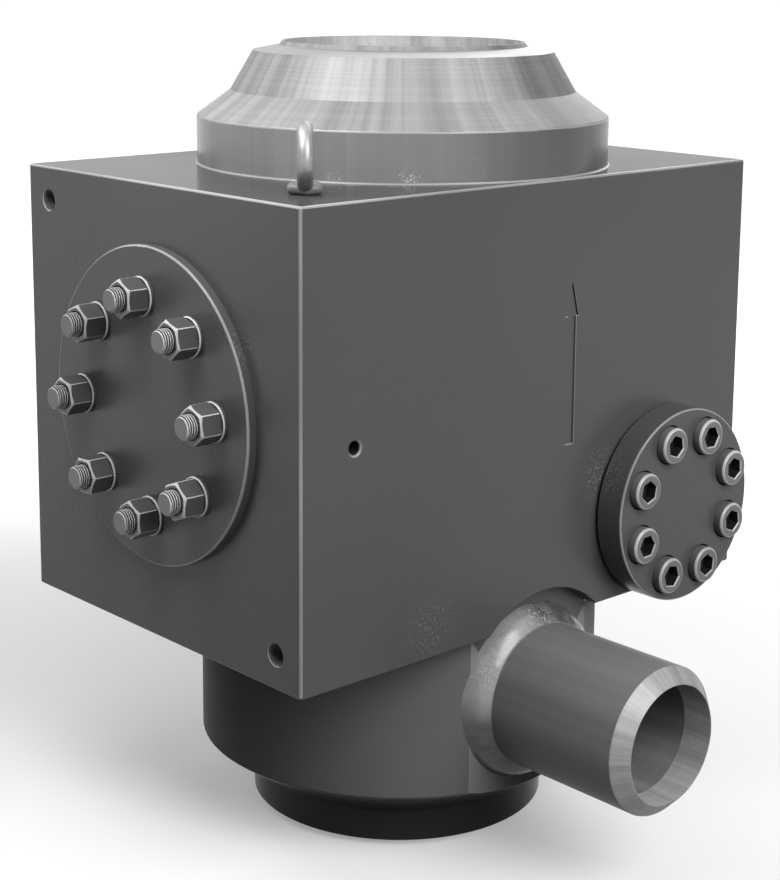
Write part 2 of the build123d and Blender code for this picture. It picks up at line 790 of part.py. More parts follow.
front_lifting_eye = lifting_eye(-block_left + eye_inset_x, -block_half_depth + eye_inset_y, eye_turn_angle)
rear_lifting_eye = lifting_eye(block_right - eye_inset_x, block_half_depth - eye_inset_y, eye_turn_angle)

pieces = {
    "valve_body": valve_body,
    "seat_ring": seat_ring,
    "valve_disc": valve_disc,
    "disc_washer": disc_washer,
    "disc_nut": disc_nut,
    "disc_split_pin": disc_split_pin,
    "swing_arm": swing_arm,
    "hinge_shaft": hinge_shaft,
    "front_shaft_bush": front_shaft_bush,
    "rear_shaft_bush": rear_shaft_bush,
    "hinge_cover": hinge_cover,
    "hinge_cover_gasket": hinge_cover_gasket,
    "hinge_cover_screws": hinge_cover_screws,
    "branch_pipe": branch_pipe,
    "branch_weld": branch_weld,
    "bonnet_plug": bonnet_plug,
    "bonnet_seal_ring": bonnet_seal_ring,
    "bonnet_backing_ring": bonnet_backing_ring,
    "bonnet_segment_ring": bonnet_segment_ring,
    "bonnet_retainer_plate": bonnet_retainer_plate,
    "bonnet_studs": bonnet_studs,
    "bonnet_washers": bonnet_washers,
    "bonnet_nuts": bonnet_nuts,
    "front_lifting_eye": front_lifting_eye,
    "rear_lifting_eye": rear_lifting_eye,
}
pieces.update(arm_bushes)
for name, piece in pieces.items():
    piece.part.label = name
    export_step(piece.part, f"parts/{name}.step")
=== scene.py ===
import math
import bmesh
import bpy
from mathutils import Matrix, Vector, noise


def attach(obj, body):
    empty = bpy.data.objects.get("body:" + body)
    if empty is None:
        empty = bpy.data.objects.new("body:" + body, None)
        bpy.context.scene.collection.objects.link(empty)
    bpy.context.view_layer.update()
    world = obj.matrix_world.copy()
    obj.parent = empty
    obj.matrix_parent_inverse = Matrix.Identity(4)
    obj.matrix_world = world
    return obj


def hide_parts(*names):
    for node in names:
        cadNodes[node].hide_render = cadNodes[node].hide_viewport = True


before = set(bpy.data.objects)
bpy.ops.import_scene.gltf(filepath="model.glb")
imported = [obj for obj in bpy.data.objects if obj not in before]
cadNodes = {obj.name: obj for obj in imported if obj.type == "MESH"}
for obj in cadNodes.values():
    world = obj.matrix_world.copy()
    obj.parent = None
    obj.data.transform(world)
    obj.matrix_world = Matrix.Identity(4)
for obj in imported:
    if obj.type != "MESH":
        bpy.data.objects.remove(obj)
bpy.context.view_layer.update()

mm = 0.001

# where the main forms stand, as the CAD has them
forms = {
    "mouthRadius": 117 * mm,
    "lipFoot": 121.67 * mm,
    "ringBottom": 764.5 * mm,
    "coneBreak": 727 * mm,
    "neckTop": 703 * mm,
    "neckRadius": 202 * mm,
    "blockTop": 656.5 * mm,
    "blockMiddle": 445.5 * mm,
    "blockBottom": 234.5 * mm,
    "blockFront": -205 * mm,
    "blockLeft": -300 * mm,
    "blockRight": 281 * mm,
    "barrelRadius": 202 * mm,
    "barrelBottom": 76 * mm,
    "bonnetHeight": 455 * mm,
    "hingeX": 164 * mm,
    "hingeHeight": 325 * mm,
    "branchHeight": 161 * mm,
    "branchFlat": -186 * mm,
}


def addObject(name, data):
    thing = bpy.data.objects.new(name, data)
    bpy.context.scene.collection.objects.link(thing)
    return thing


# camera and lamps

cameraSet = {
    "place": (-1.2613, -1.3698, 0.8576),
    "turn": -42.3009,  # degrees round the flow axis
    "tilt": 10.6356,  # degrees down
    "lean": 0.4484,
    "lens": 77.1995,
    "sensor": 36.0,
    "shiftUp": -0.15,
    "near": 0.05,
    "far": 60,
}
cameraData = bpy.data.cameras.new("photoCamera")
camera = addObject("photoCamera", cameraData)
cameraData.lens = cameraSet["lens"]
cameraData.sensor_width = cameraSet["sensor"]
cameraData.shift_y = cameraSet["shiftUp"]
cameraData.clip_start = cameraSet["near"]
cameraData.clip_end = cameraSet["far"]
camera.matrix_world = (
    Matrix.Translation(cameraSet["place"])
    @ Matrix.Rotation(math.radians(cameraSet["turn"]), 4, "Z")
    @ Matrix.Rotation(math.radians(90 - cameraSet["tilt"]), 4, "X")
    @ Matrix.Rotation(math.radians(cameraSet["lean"]), 4, "Z")
)
bpy.context.scene.camera = camera
bpy.context.scene.view_settings.view_transform = "Standard"

lampSet = [
    # name, place, size across and up, watts
    ("keySoftbox", (-0.18, -2.85, 2.2), (2.2, 2.2), 104),
    ("topSoftbox", (0.3, -0.3, 3.4), (4.2, 4.2), 42),
    ("leftSoftbox", (-0.56, -0.05, 1.1), (0.4, 0.4), 4.2),
    ("backSoftbox", (-0.9, 2.8, 2.9), (2.2, 2.2), 38),
    ("rightSoftbox", (2.7, 1.7, 2.3), (2.0, 2.0), 40),
]
lampTarget = Vector((0, 0, 0.42))
for lampName, lampPlace, lampSize, lampPower in lampSet:
    lampData = bpy.data.lights.new(lampName, "AREA")
    lampData.shape = "RECTANGLE"
    lampData.size, lampData.size_y = lampSize
    lampData.energy = lampPower
    lamp = addObject(lampName, lampData)
    lamp.location = lampPlace
    lamp.rotation_euler = (lampTarget - Vector(lampPlace)).to_track_quat("-Z", "Y").to_euler()


# steps of a node tree

def cleanTree(owner):
    owner.use_nodes = True
    owner.node_tree.nodes.clear()
    return owner.node_tree


def addNode(tree, kind, inputs=(), **settings):
    node = tree.nodes.new(kind)
    for key, value in settings.items():
        setattr(node, key, value)
    for key, value in dict(inputs).items():
        if isinstance(value, bpy.types.NodeSocket):
            tree.links.new(value, node.inputs[key])
        else:
            node.inputs[key].default_value = value
    return node


def useGroup(tree, group, inputs):
    return addNode(tree, "ShaderNodeGroup", inputs, node_tree=group).outputs


def math2(tree, operation, first, second):
    return addNode(tree, "ShaderNodeMath", {0: first, 1: second}, operation=operation).outputs[0]


def vectorMath(tree, operation, first, second=None):
    inputs = {0: first}
    if second is not None:
        inputs["Scale" if operation == "SCALE" else 1] = second
    outputs = addNode(tree, "ShaderNodeVectorMath", inputs, operation=operation).outputs
    measures = operation in ("LENGTH", "DISTANCE", "DOT_PRODUCT")
    return outputs["Value" if measures else "Vector"]


def mixColor(tree, share, first, second):
    return addNode(tree, "ShaderNodeMix", {0: share, 6: first, 7: second}, data_type="RGBA").outputs[2]


def noiseOf(tree, vector, scale, detail, roughness=0.5):
    inputs = {"Vector": vector, "Scale": scale, "Detail": detail, "Roughness": roughness}
    return addNode(tree, "ShaderNodeTexNoise", inputs).outputs[0]


def spread(tree, value, low, high, fromLow=0.3, fromHigh=0.7, way="LINEAR"):
    # noise sits around 0.5, so it is stretched before use
    inputs = {0: value, 1: fromLow, 2: fromHigh, 3: low, 4: high}
    return addNode(tree, "ShaderNodeMapRange", inputs, interpolation_type=way).outputs[0]


def seenRay(tree):
    # 1 where the camera, a mirror or glass looks, 0 for the light that falls on things
    path = addNode(tree, "ShaderNodeLightPath").outputs
    seen = math2(tree, "MAXIMUM", path["Is Camera Ray"], path["Is Glossy Ray"])
    return math2(tree, "MAXIMUM", seen, path["Is Transmission Ray"])


# world and floor

worldSet = {"background": 1.0, "ambient": 0.12}
world = bpy.data.worlds.new("paleStudio")
bpy.context.scene.world = world
tree = cleanTree(world)
level = spread(tree, seenRay(tree), worldSet["ambient"], worldSet["background"], 0, 1)
air = addNode(tree, "ShaderNodeBackground", {"Color": (1, 1, 1, 1), "Strength": level})
addNode(tree, "ShaderNodeOutputWorld", {"Surface": air.outputs[0]})

floorSet = {
    "size": 60.0, "pale": (0.62, 0.62, 0.62, 1), "bounce": (0.08, 0.08, 0.08, 1), "rough": 0.9,
    "glow": (0.3, 1.0), "fade": (0.5, 2.2),  # it fades to white away from the valve
}
floorMaterial = bpy.data.materials.new("paleFloor")
tree = cleanTree(floorMaterial)
seen = seenRay(tree)
tint = mixColor(tree, seen, floorSet["bounce"], floorSet["pale"])
plain = addNode(tree, "ShaderNodeBsdfDiffuse", {"Color": tint, "Roughness": floorSet["rough"]})
away = vectorMath(tree, "LENGTH", addNode(tree, "ShaderNodeTexCoord").outputs["Object"])
fade = spread(tree, away, *floorSet["glow"], *floorSet["fade"], "SMOOTHSTEP")
glow = addNode(tree, "ShaderNodeEmission", {"Strength": math2(tree, "MULTIPLY", fade, seen)})
both = addNode(tree, "ShaderNodeAddShader", {0: plain.outputs[0], 1: glow.outputs[0]})
addNode(tree, "ShaderNodeOutputMaterial", {"Surface": both.outputs[0]})
bpy.ops.mesh.primitive_plane_add(size=floorSet["size"])
floor = bpy.context.object
floor.name = "studioFloor"
floor.data.materials.append(floorMaterial)
print("stage ready")


# effects that several finishes share

def newGroup(name, inputs, outputs):
    group = bpy.data.node_groups.new(name, "ShaderNodeTree")
    for label, value in inputs.items():
        kind = {3: "Vector", 4: "Color"}[len(value)] if isinstance(value, tuple) else "Float"
        socket = group.interface.new_socket(label, in_out="INPUT", socket_type="NodeSocket" + kind)
        socket.default_value = value
    for label in outputs:
        kind = "Color" if label == "Color" else "Float"
        group.interface.new_socket(label, in_out="OUTPUT", socket_type="NodeSocket" + kind)
    start = group.nodes.new("NodeGroupInput")
    end = group.nodes.new("NodeGroupOutput")
    return group, start.outputs, end.inputs


def fillOutputs(tree, put, values):
    for label, value in values.items():
        tree.links.new(value, put[label])


# sprayed paint: orange peel, a finer grain and soft uneven patches
skinSet = {
    "peelDetail": 2.0, "fineShare": 5.0, "fineDetail": 1.0, "fineHeight": 0.3,
    "patch": (6.0, 1.5, 0.4),  # scale, detail and roughness of the noise
    "patchSwing": 2.0, "roughSwing": 0.05,
}
paintSkin, got, put = newGroup(
    "paintSkin",
    {"Vector": (0, 0, 0), "Color": (0.1, 0.1, 0.1, 1), "Roughness": 0.35,
     "Peel Scale": 240.0, "Uneven": 0.06},
    ["Color", "Roughness", "Height"],
)
tree = paintSkin
peel = noiseOf(tree, got["Vector"], got["Peel Scale"], skinSet["peelDetail"])
fineScale = math2(tree, "MULTIPLY", got["Peel Scale"], skinSet["fineShare"])
fine = noiseOf(tree, got["Vector"], fineScale, skinSet["fineDetail"])
patch = noiseOf(tree, got["Vector"], *skinSet["patch"])
swing = spread(tree, patch, -skinSet["patchSwing"], skinSet["patchSwing"], 0, 1)
shade = math2(tree, "ADD", math2(tree, "MULTIPLY", swing, got["Uneven"]), 1.0)
fillOutputs(tree, put, {
    "Color": vectorMath(tree, "SCALE", got["Color"], shade),
    "Roughness": math2(tree, "ADD", got["Roughness"], math2(tree, "MULTIPLY", swing, skinSet["roughSwing"])),
    "Height": math2(tree, "ADD", peel, math2(tree, "MULTIPLY", fine, skinSet["fineHeight"])),
})

# round an axis: fine turning lines, broad sheen streaks painted in as reflection, and painted shade that
# darkens one side
turnSet = {"lines": (1.0, 3.0, 0.6), "sheen": (1.6, 4.0, 0.75)}  # scale, detail and roughness of the noise
turnedMarks, got, put = newGroup(
    "turnedMarks",
    {"Position": (0, 0, 0), "Line Scale": 2200.0, "Line Turns": 0.35, "Sheen Count": 2.2,
     "Shade Way": (0.74, -0.67, 0), "Shade From": 0.2, "Shade To": 0.95},
    ["Lines", "Sheen", "Side", "Height"],
)
tree = turnedMarks
parts = addNode(tree, "ShaderNodeSeparateXYZ", {0: got["Position"]}).outputs
flat = addNode(tree, "ShaderNodeCombineXYZ", {0: parts[0], 1: parts[1]}).outputs[0]
heading = vectorMath(tree, "NORMALIZE", flat)
along = math2(tree, "ADD", parts[2], vectorMath(tree, "LENGTH", flat))
around = vectorMath(tree, "SCALE", heading, got["Line Turns"])
turns = addNode(tree, "ShaderNodeSeparateXYZ", {0: around}).outputs
linePlace = {0: turns[0], 1: turns[1], 2: math2(tree, "MULTIPLY", along, got["Line Scale"])}
lines = noiseOf(tree, addNode(tree, "ShaderNodeCombineXYZ", linePlace).outputs[0], *turnSet["lines"])
# Sheen: broad streaks that stand in for reflections, painted into colour and roughness
sheen = noiseOf(tree, vectorMath(tree, "SCALE", heading, got["Sheen Count"]), *turnSet["sheen"])
# Side is painted shade: it is 1 on the side that Shade Way points to, where the colour is darkened
turned = vectorMath(tree, "DOT_PRODUCT", heading, got["Shade Way"])
fillOutputs(tree, put, {
    "Lines": spread(tree, lines, 0, 1), "Sheen": spread(tree, sheen, 0, 1), "Height": lines,
    "Side": spread(tree, turned, 0, 1, got["Shade From"], got["Shade To"], "SMOOTHSTEP"),
})

# dull handling marks and dust that settle in patches
handlingSet = {"noise": (6.0, 0.65), "seen": (0.42, 0.68)}  # detail and roughness, what part of it shows
handlingMarks, got, put = newGroup(
    "handlingMarks", {"Vector": (0, 0, 0), "Scale": 14.0, "Amount": 0.4}, ["Mask"]
)
tree = handlingMarks
cloud = noiseOf(tree, got["Vector"], got["Scale"], *handlingSet["noise"])
marked = spread(tree, cloud, 0, 1, *handlingSet["seen"])
fillOutputs(tree, put, {"Mask": math2(tree, "MULTIPLY", marked, got["Amount"])})

# painted glints: small bright flecks painted into the colour where glossy paint would catch the light,
# gathered in soft spots
glintSet = {"color": (0.5, 0.5, 0.49, 1), "noise": (2.0, 0.6), "seen": (0.52, 0.66)}
paintedGlints, got, put = newGroup(
    "paintedGlints", {"Vector": (0, 0, 0), "Centre": (0, 0, 0), "Reach": 0.05, "Scale": 420.0}, ["Mask"]
)
tree = paintedGlints
apart = vectorMath(tree, "DISTANCE", got["Vector"], got["Centre"])
nearby = math2(tree, "SUBTRACT", 1.0, math2(tree, "DIVIDE", apart, got["Reach"]))
soft = spread(tree, nearby, 0, 1, 0, 1, "SMOOTHSTEP")
grain = noiseOf(tree, got["Vector"], got["Scale"], *glintSet["noise"])
bits = spread(tree, grain, 0, 1, *glintSet["seen"])
fillOutputs(tree, put, {"Mask": math2(tree, "MULTIPLY", bits, soft)})


# finishes

def newFinish(name):
    material = bpy.data.materials.new(name)
    tree = cleanTree(material)
    return material, tree, addNode(tree, "ShaderNodeTexCoord").outputs["Object"]


def endFinish(tree, height, depth, inputs):
    bump = addNode(tree, "ShaderNodeBump", {"Height": height, "Distance": depth, "Strength": 1.0})
    shader = addNode(tree, "ShaderNodeBsdfPrincipled", {**inputs, "Normal": bump.outputs[0]})
    addNode(tree, "ShaderNodeOutputMaterial", {"Surface": shader.outputs[0]})


def addPaintedGlints(tree, place, color, glintSpots):
    # each spot of painted glints has its centre, its reach and how strong its glints are
    for centre, reach, amount in glintSpots:
        mask = useGroup(tree, paintedGlints, {"Vector": place, "Centre": centre, "Reach": reach})["Mask"]
        color = mixColor(tree, math2(tree, "MULTIPLY", mask, amount), color, glintSet["color"])
    return color


def paintFinish(name, look):
    material, tree, place = newFinish(name)
    skin = useGroup(tree, paintSkin, {
        "Vector": place, "Color": (*look["color"], 1), "Roughness": look["roughness"],
        "Peel Scale": look["peelScale"], "Uneven": look["uneven"],
    })
    endFinish(tree, skin["Height"], look["peelDepth"], {
        "Base Color": addPaintedGlints(tree, place, skin["Color"], look["glintSpots"]), "Roughness": skin["Roughness"],
        "Specular IOR Level": look["gloss"], "Specular Tint": (*[look["mirror"]] * 3, 1),
    })
    return material


def axisPlace(tree, place, centre, axis):
    # object place turned so that the axis of the turned piece is its third number
    moved = vectorMath(tree, "SUBTRACT", place, centre)
    if axis == "Z":
        return moved
    parts = addNode(tree, "ShaderNodeSeparateXYZ", {0: moved}).outputs
    order = {"X": (1, 2, 0), "Y": (0, 2, 1)}[axis]
    return addNode(tree, "ShaderNodeCombineXYZ", {i: parts[order[i]] for i in range(3)}).outputs[0]


def turnedFinish(name, look):
    material, tree, place = newFinish(name)
    marks = useGroup(tree, turnedMarks, {
        "Position": axisPlace(tree, place, look["centre"], look["axis"]), "Line Scale": look["lineScale"],
        "Sheen Count": look["sheenCount"], "Shade Way": look["shadeWay"],
        "Shade From": look["shadeFrom"], "Shade To": look["shadeTo"],
    })
    dullInputs = {"Vector": place, "Scale": look["dullScale"], "Amount": look["dullAmount"]}
    dull = useGroup(tree, handlingMarks, dullInputs)["Mask"]
    low, high = look["tones"]
    # the colour mixes real turning lines with the painted sheen reflection
    lineTone = math2(tree, "MULTIPLY", marks["Lines"], look["lineShare"])
    paintedSheenTone = math2(tree, "MULTIPLY", marks["Sheen"], 1 - look["lineShare"])
    bright = mixColor(tree, math2(tree, "ADD", lineTone, paintedSheenTone), (*low, 1), (*high, 1))
    # painted shade: the colour darkens on the side that shadeWay points to
    level = math2(tree, "SUBTRACT", 1.0, math2(tree, "MULTIPLY", marks["Side"], look["shadeSide"]))
    toneMarks = mixColor(tree, dull, vectorMath(tree, "SCALE", bright, level), (*look["dullTone"], 1))
    sheenRough = spread(tree, marks["Sheen"], *look["rough"], 0, 1)
    tangent = addNode(tree, "ShaderNodeTangent", direction_type="RADIAL", axis=look["axis"])
    endFinish(tree, marks["Height"], look["lineDepth"], {
        "Base Color": addPaintedGlints(tree, place, toneMarks, look["glintSpots"]),
        "Roughness": math2(tree, "ADD", sheenRough, math2(tree, "MULTIPLY", dull, look["dullRough"])),
        "Metallic": look["metal"], "Anisotropic": look["brushed"], "Specular IOR Level": look["gloss"],
        "Tangent": tangent.outputs[0],
    })
    return material


# what a paint has unless its own line says otherwise
paintBase = {
    "roughness": 0.3, "peelScale": 230.0, "peelDepth": 0.0001, "uneven": 0.1, "gloss": 0.5, "mirror": 0.8,
    "glintSpots": (),
}
paintLooks = {
    "bodyPaint": {
        "color": (0.077, 0.081, 0.08), "peelDepth": 0.00024, "uneven": 0.05, "gloss": 0.22, "mirror": 0.75,
        "glintSpots": (
            ((0.072, -0.205, 0.366), 0.04, 0.3), ((-0.149, -0.205, 0.262), 0.05, 0.2),
            ((-0.3, -0.13, 0.53), 0.03, 0.2),
        ),
    },
    # a lighter colour on rounded edges and rims: a painted highlight
    "paintedEdgeHighlight": {"color": (0.23, 0.235, 0.232), "uneven": 0.3, "gloss": 0.6, "mirror": 0.9},
    # a faint painted highlight on the arrow's far rims
    "softPaintedHighlight": {"color": (0.125, 0.13, 0.128), "uneven": 0.2, "gloss": 0.4},
    "wallShade": {"color": (0.055, 0.057, 0.056), "roughness": 0.45, "gloss": 0.1, "mirror": 0.5},
    "cutShade": {"color": (0.02, 0.021, 0.02), "roughness": 0.5, "gloss": 0.1, "mirror": 0.5},
    # the barrel under the block and its flat: copies of the body paint with the gloss taken away and a raised
    # colour, painted light and shade; the flat is lighter still
    "shadePaint": {
        "color": (0.145, 0.149, 0.147), "roughness": 0.45, "peelDepth": 0.0002, "gloss": 0.02, "mirror": 0.25,
    },
    "flatPaintedLight": {
        "color": (0.225, 0.23, 0.228), "roughness": 0.45, "peelDepth": 0.0002, "gloss": 0.02, "mirror": 0.25,
    },
    # the top face: a copy of the body paint whose colour, gloss and roughness are set for the light that
    # falls there, painted light
    "topPaintedLight": {
        "color": (0.06, 0.063, 0.062), "roughness": 0.12, "peelScale": 90.0, "peelDepth": 0.00006,
        "uneven": 0.05, "gloss": 0.018, "mirror": 0.46,
        "glintSpots": (((-0.141, -0.155, 0.657), 0.022, 0.6), ((-0.171, -0.12, 0.657), 0.014, 0.5)),
    },
    # the inlet end and its nozzle are coloured near black
    "inletDark": {
        "color": (0.03, 0.032, 0.031), "roughness": 0.24, "peelScale": 260.0, "gloss": 0.25, "mirror": 0.35,
    },
    "fastenerPaint": {"color": (0.068, 0.071, 0.07), "peelScale": 520.0, "uneven": 0.12, "mirror": 0.7},
    "screwPaint": {"color": (0.13, 0.134, 0.132), "peelScale": 520.0, "uneven": 0.12, "mirror": 0.7},
    # a painted highlight on the rims of nuts, washers and screws
    "paintedRimHighlight": {
        "color": (0.44, 0.445, 0.44), "peelScale": 600.0, "uneven": 0.25, "gloss": 0.6, "mirror": 0.9,
    },
    "crestPaintedHighlight": {"color": (0.42, 0.425, 0.42), "peelScale": 600.0, "uneven": 0.3, "gloss": 0.6},
    "threadShade": {
        "color": (0.07, 0.072, 0.07), "roughness": 0.4, "peelScale": 600.0, "uneven": 0.2,
        "gloss": 0.3, "mirror": 0.6,
    },
    "studPaint": {"color": (0.13, 0.134, 0.132), "roughness": 0.32, "peelScale": 600.0, "uneven": 0.2},
}

# what a turned or forged surface has unless its own line says otherwise
steelBase = {
    "centre": (0, 0, 0), "axis": "Z", "lineScale": 1900.0, "lineDepth": 0.00006, "lineShare": 0.2,
    "sheenCount": 3.4, "tones": ((0.14, 0.14, 0.138), (0.38, 0.38, 0.375)), "rough": (0.42, 0.56),
    "brushed": 0.25, "metal": 0.85, "gloss": 0.5,
    "dullTone": (0.22, 0.22, 0.215), "dullScale": 12.0, "dullAmount": 0.35, "dullRough": 0.2,
    "shadeSide": 0.0, "shadeWay": (0.74, -0.67, 0), "shadeFrom": 0.2, "shadeTo": 0.95,
    "glintSpots": (),
}
hingeAxis = {"centre": (forms["hingeX"], 0, forms["hingeHeight"]), "axis": "Y"}
bonnetAxis = {"centre": (0, 0, forms["bonnetHeight"]), "axis": "X"}
branchAxis = {"centre": (0, 0, forms["branchHeight"]), "axis": "Y"}
# shadeSide paints light and shade into the colour: one side is darker on both cones, the neck, the pipe and
# the branch's bevel, mouth and bore, and the weld keeps one lit zone
steelLooks = {
    "outletSteel": {"shadeSide": 0.4},
    # the upper cone: the same turned steel as the lower cone, darker as painted shade
    "upperConePaintedShade": {"shadeSide": 0.4, "tones": ((0.085, 0.085, 0.084), (0.31, 0.31, 0.307))},
    "ringSteel": {"tones": ((0.24, 0.24, 0.237), (0.31, 0.31, 0.306)), "sheenCount": 1.2, "dullAmount": 0.15},
    # the painted neck: turning lines under the paint, with a colour raised above the body paint as painted
    # light
    "neckPaintAndLight": {
        "tones": ((0.15, 0.155, 0.153), (0.235, 0.24, 0.237)), "metal": 0.0, "rough": (0.2, 0.32),
        "brushed": 0.0, "gloss": 0.3, "lineDepth": 0.00004, "sheenCount": 1.6,
        "dullTone": (0.14, 0.145, 0.143), "dullAmount": 0.0, "shadeSide": 0.66, "shadeFrom": 0.0,
        "glintSpots": (((-0.132, -0.153, 0.658), 0.018, 1.2), ((-0.175, -0.101, 0.66), 0.012, 0.7)),
    },
    "boreSteel": {
        "tones": ((0.3, 0.3, 0.296), (0.54, 0.54, 0.53)), "rough": (0.32, 0.5),
        "lineScale": 900.0, "metal": 0.5,
    },
    "hingeSteel": hingeAxis,
    "bonnetSteel": {**bonnetAxis, "tones": ((0.36, 0.36, 0.355), (0.58, 0.58, 0.57))},
    "forgedSteel": {
        "lineScale": 60.0, "lineDepth": 0.0003, "sheenCount": 1.0, "rough": (0.5, 0.66), "brushed": 0.0,
        "tones": ((0.12, 0.115, 0.11), (0.24, 0.235, 0.23)),
        "dullTone": (0.08, 0.07, 0.06), "dullAmount": 0.7, "dullScale": 30.0,
    },
    # the painted weld: a colour raised above the body paint as painted light, with a lit zone and painted
    # shade round it
    "weldPaintAndLight": {
        **branchAxis, "lineScale": 260.0, "lineShare": 0.0, "sheenCount": 0.3, "metal": 0.0, "brushed": 0.0,
        "tones": ((0.24, 0.245, 0.243), (0.3, 0.305, 0.3)), "rough": (0.18, 0.24), "gloss": 0.6,
        "dullTone": (0.36, 0.365, 0.36), "dullScale": 60.0, "dullAmount": 0.25,
        "shadeWay": (0.766, -0.643, 0), "shadeFrom": -0.88, "shadeTo": -0.6, "shadeSide": 0.72,
        "glintSpots": (
            ((-0.003, -0.196, 0.236), 0.03, 0.8), ((-0.073, -0.196, 0.2), 0.03, 0.8),
            ((-0.045, -0.196, 0.225), 0.03, 0.4),
        ),
    },
    # the painted pipe: a colour raised above the body paint as painted light, with a darker underside as
    # painted shade
    "pipePaintAndLight": {
        **branchAxis, "lineScale": 1500.0, "lineDepth": 0.00005, "sheenCount": 1.6, "metal": 0.0,
        "brushed": 0.0, "gloss": 0.2,
        "tones": ((0.14, 0.144, 0.142), (0.21, 0.215, 0.213)), "rough": (0.36, 0.46),
        "dullTone": (0.1, 0.103, 0.102), "dullAmount": 0.2, "shadeWay": (0.2, -1.2, 0), "shadeSide": 0.65,
    },
    "branchSteel": {
        **branchAxis, "lineScale": 1300.0, "sheenCount": 3.0, "metal": 0.5,
        "shadeSide": 0.42, "shadeWay": (1.3, -0.8, 0),
    },
    "mouthSteel": {
        **branchAxis, "lineScale": 1300.0, "sheenCount": 3.0, "metal": 0.4, "gloss": 0.3,
        "tones": ((0.4, 0.4, 0.396), (0.78, 0.78, 0.77)),
        "shadeSide": 0.88, "shadeWay": (-0.35, 0.94, 0), "shadeFrom": -0.3, "shadeTo": 0.7,
    },
    "scaleSteel": {
        **branchAxis, "lineScale": 700.0, "sheenCount": 1.2, "metal": 0.1, "gloss": 0.2,
        "tones": ((0.15, 0.15, 0.148), (0.33, 0.33, 0.326)), "rough": (0.45, 0.6), "brushed": 0.0,
        "dullTone": (0.12, 0.115, 0.11), "dullAmount": 0.25,
        "shadeSide": 0.88, "shadeWay": (-0.35, 0.94, 0), "shadeFrom": -0.8, "shadeTo": 0.5,
    },
    "eyeSteel": {
        "centre": (-0.242, -0.141, 0.69), "lineScale": 200.0, "lineDepth": 0.0003,
        "tones": ((0.2, 0.2, 0.2), (0.4, 0.4, 0.4)), "rough": (0.3, 0.5), "brushed": 0.0, "metal": 0.7,
        "dullTone": (0.12, 0.12, 0.12), "dullScale": 60.0, "dullAmount": 0.5,
    },
    "bronze": {**hingeAxis, "tones": ((0.46, 0.3, 0.14), (0.66, 0.46, 0.24)), "dullTone": (0.22, 0.15, 0.09)},
    "graphite": {
        **bonnetAxis, "tones": ((0.035, 0.035, 0.037), (0.07, 0.07, 0.072)), "dullTone": (0.02, 0.02, 0.02),
        "metal": 0.3, "rough": (0.45, 0.6), "brushed": 0.0, "lineDepth": 0.0001,
    },
}
finishes = {name: paintFinish(name, {**paintBase, **look}) for name, look in paintLooks.items()}
for name, look in steelLooks.items():
    finishes[name] = turnedFinish(name, {**steelBase, **look})
print("finishes ready")


# helpers for the pieces

def evenNormals(mesh, sharpAngle):
    # a corner takes its shade from the largest face that meets it smoothly, so fillets run into flats unseen
    planes, areas = [], {}
    for face in mesh.polygons:
        way = face.normal
        key = (round(way.x, 3), round(way.y, 3), round(way.z, 3), round(way.dot(face.center), 5))
        planes.append(key)
        areas[key] = areas.get(key, 0) + face.area
    around = [[] for _ in mesh.vertices]
    for face in mesh.polygons:
        for corner in face.vertices:
            around[corner].append(face.index)
    limit = math.cos(math.radians(sharpAngle))
    normals = []
    for face in mesh.polygons:
        for corner in face.vertices:
            total, seen = Vector(), set()
            for other in around[corner]:
                way = mesh.polygons[other].normal
                if planes[other] not in seen and way.dot(face.normal) > limit:
                    seen.add(planes[other])
                    total += way * areas[planes[other]]
            normals.append(total.normalized() if total.length > 0 else face.normal)
    mesh.normals_split_custom_set(normals)


def newPiece(name, mesh, body, replaced, finishNames, pickFinish=None, sharpAngle=50):
    # pickFinish names the finish of a face, and without it all faces have the first
    piece = addObject(name, mesh)
    for finishName in finishNames:
        mesh.materials.append(finishes[finishName])
    for face in mesh.polygons:
        face.use_smooth = True
    evenNormals(mesh, sharpAngle)
    if pickFinish:
        for face in mesh.polygons:
            face.material_index = finishNames.index(pickFinish(face))
    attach(piece, body)
    if replaced:
        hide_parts(*replaced)
    return piece


def meshOf(name, vertices, faces):
    mesh = bpy.data.meshes.new(name)
    mesh.from_pydata(vertices, [], faces)
    mesh.update()
    return mesh


def weldSeams(mesh, reach=0.005 * mm):
    # points closer than reach become one, and the faces look outwards
    work = bmesh.new()
    work.from_mesh(mesh)
    bmesh.ops.remove_doubles(work, verts=work.verts, dist=reach)
    bmesh.ops.recalc_face_normals(work, faces=work.faces)
    work.to_mesh(mesh)
    work.free()
    return mesh


def evenAngles(count):
    return [2 * math.pi * i / count for i in range(count)]


def gridFaces(rows, columns, start=0, flip=False):
    # quads between rings of points, closed round each ring
    faces = []
    for row in range(rows - 1):
        for column in range(columns):
            a = start + row * columns + column
            b = start + row * columns + (column + 1) % columns
            face = (a, b, b + columns, a + columns)
            faces.append(face[::-1] if flip else face)
    return faces


def endFaces(rows, columns, start=0):
    # one flat face at each end of the same rings
    last = start + (rows - 1) * columns
    return [tuple(range(start, start + columns))[::-1], tuple(range(last, last + columns))]


def onBonnet(across, up, out):
    # a point of a bonnet fastener: out is measured from the block face towards -X
    return Vector((forms["blockLeft"] - out, across, up))


def circlePlaces(s, across, up):
    # places of a set of fasteners round their circle
    for i in range(s["count"]):
        angle = math.radians(s["first"] + 360 * i / s["count"])
        yield across + s["circle"] * math.cos(angle), up + s["circle"] * math.sin(angle)


def ringOf(across, up, out, r, angles):
    radii = r if isinstance(r, list) else [r] * len(angles)
    outs = out if isinstance(out, list) else [out] * len(angles)
    sets = zip(angles, radii, outs)
    return [onBonnet(across + q * math.cos(a), up + q * math.sin(a), o) for a, q, o in sets]


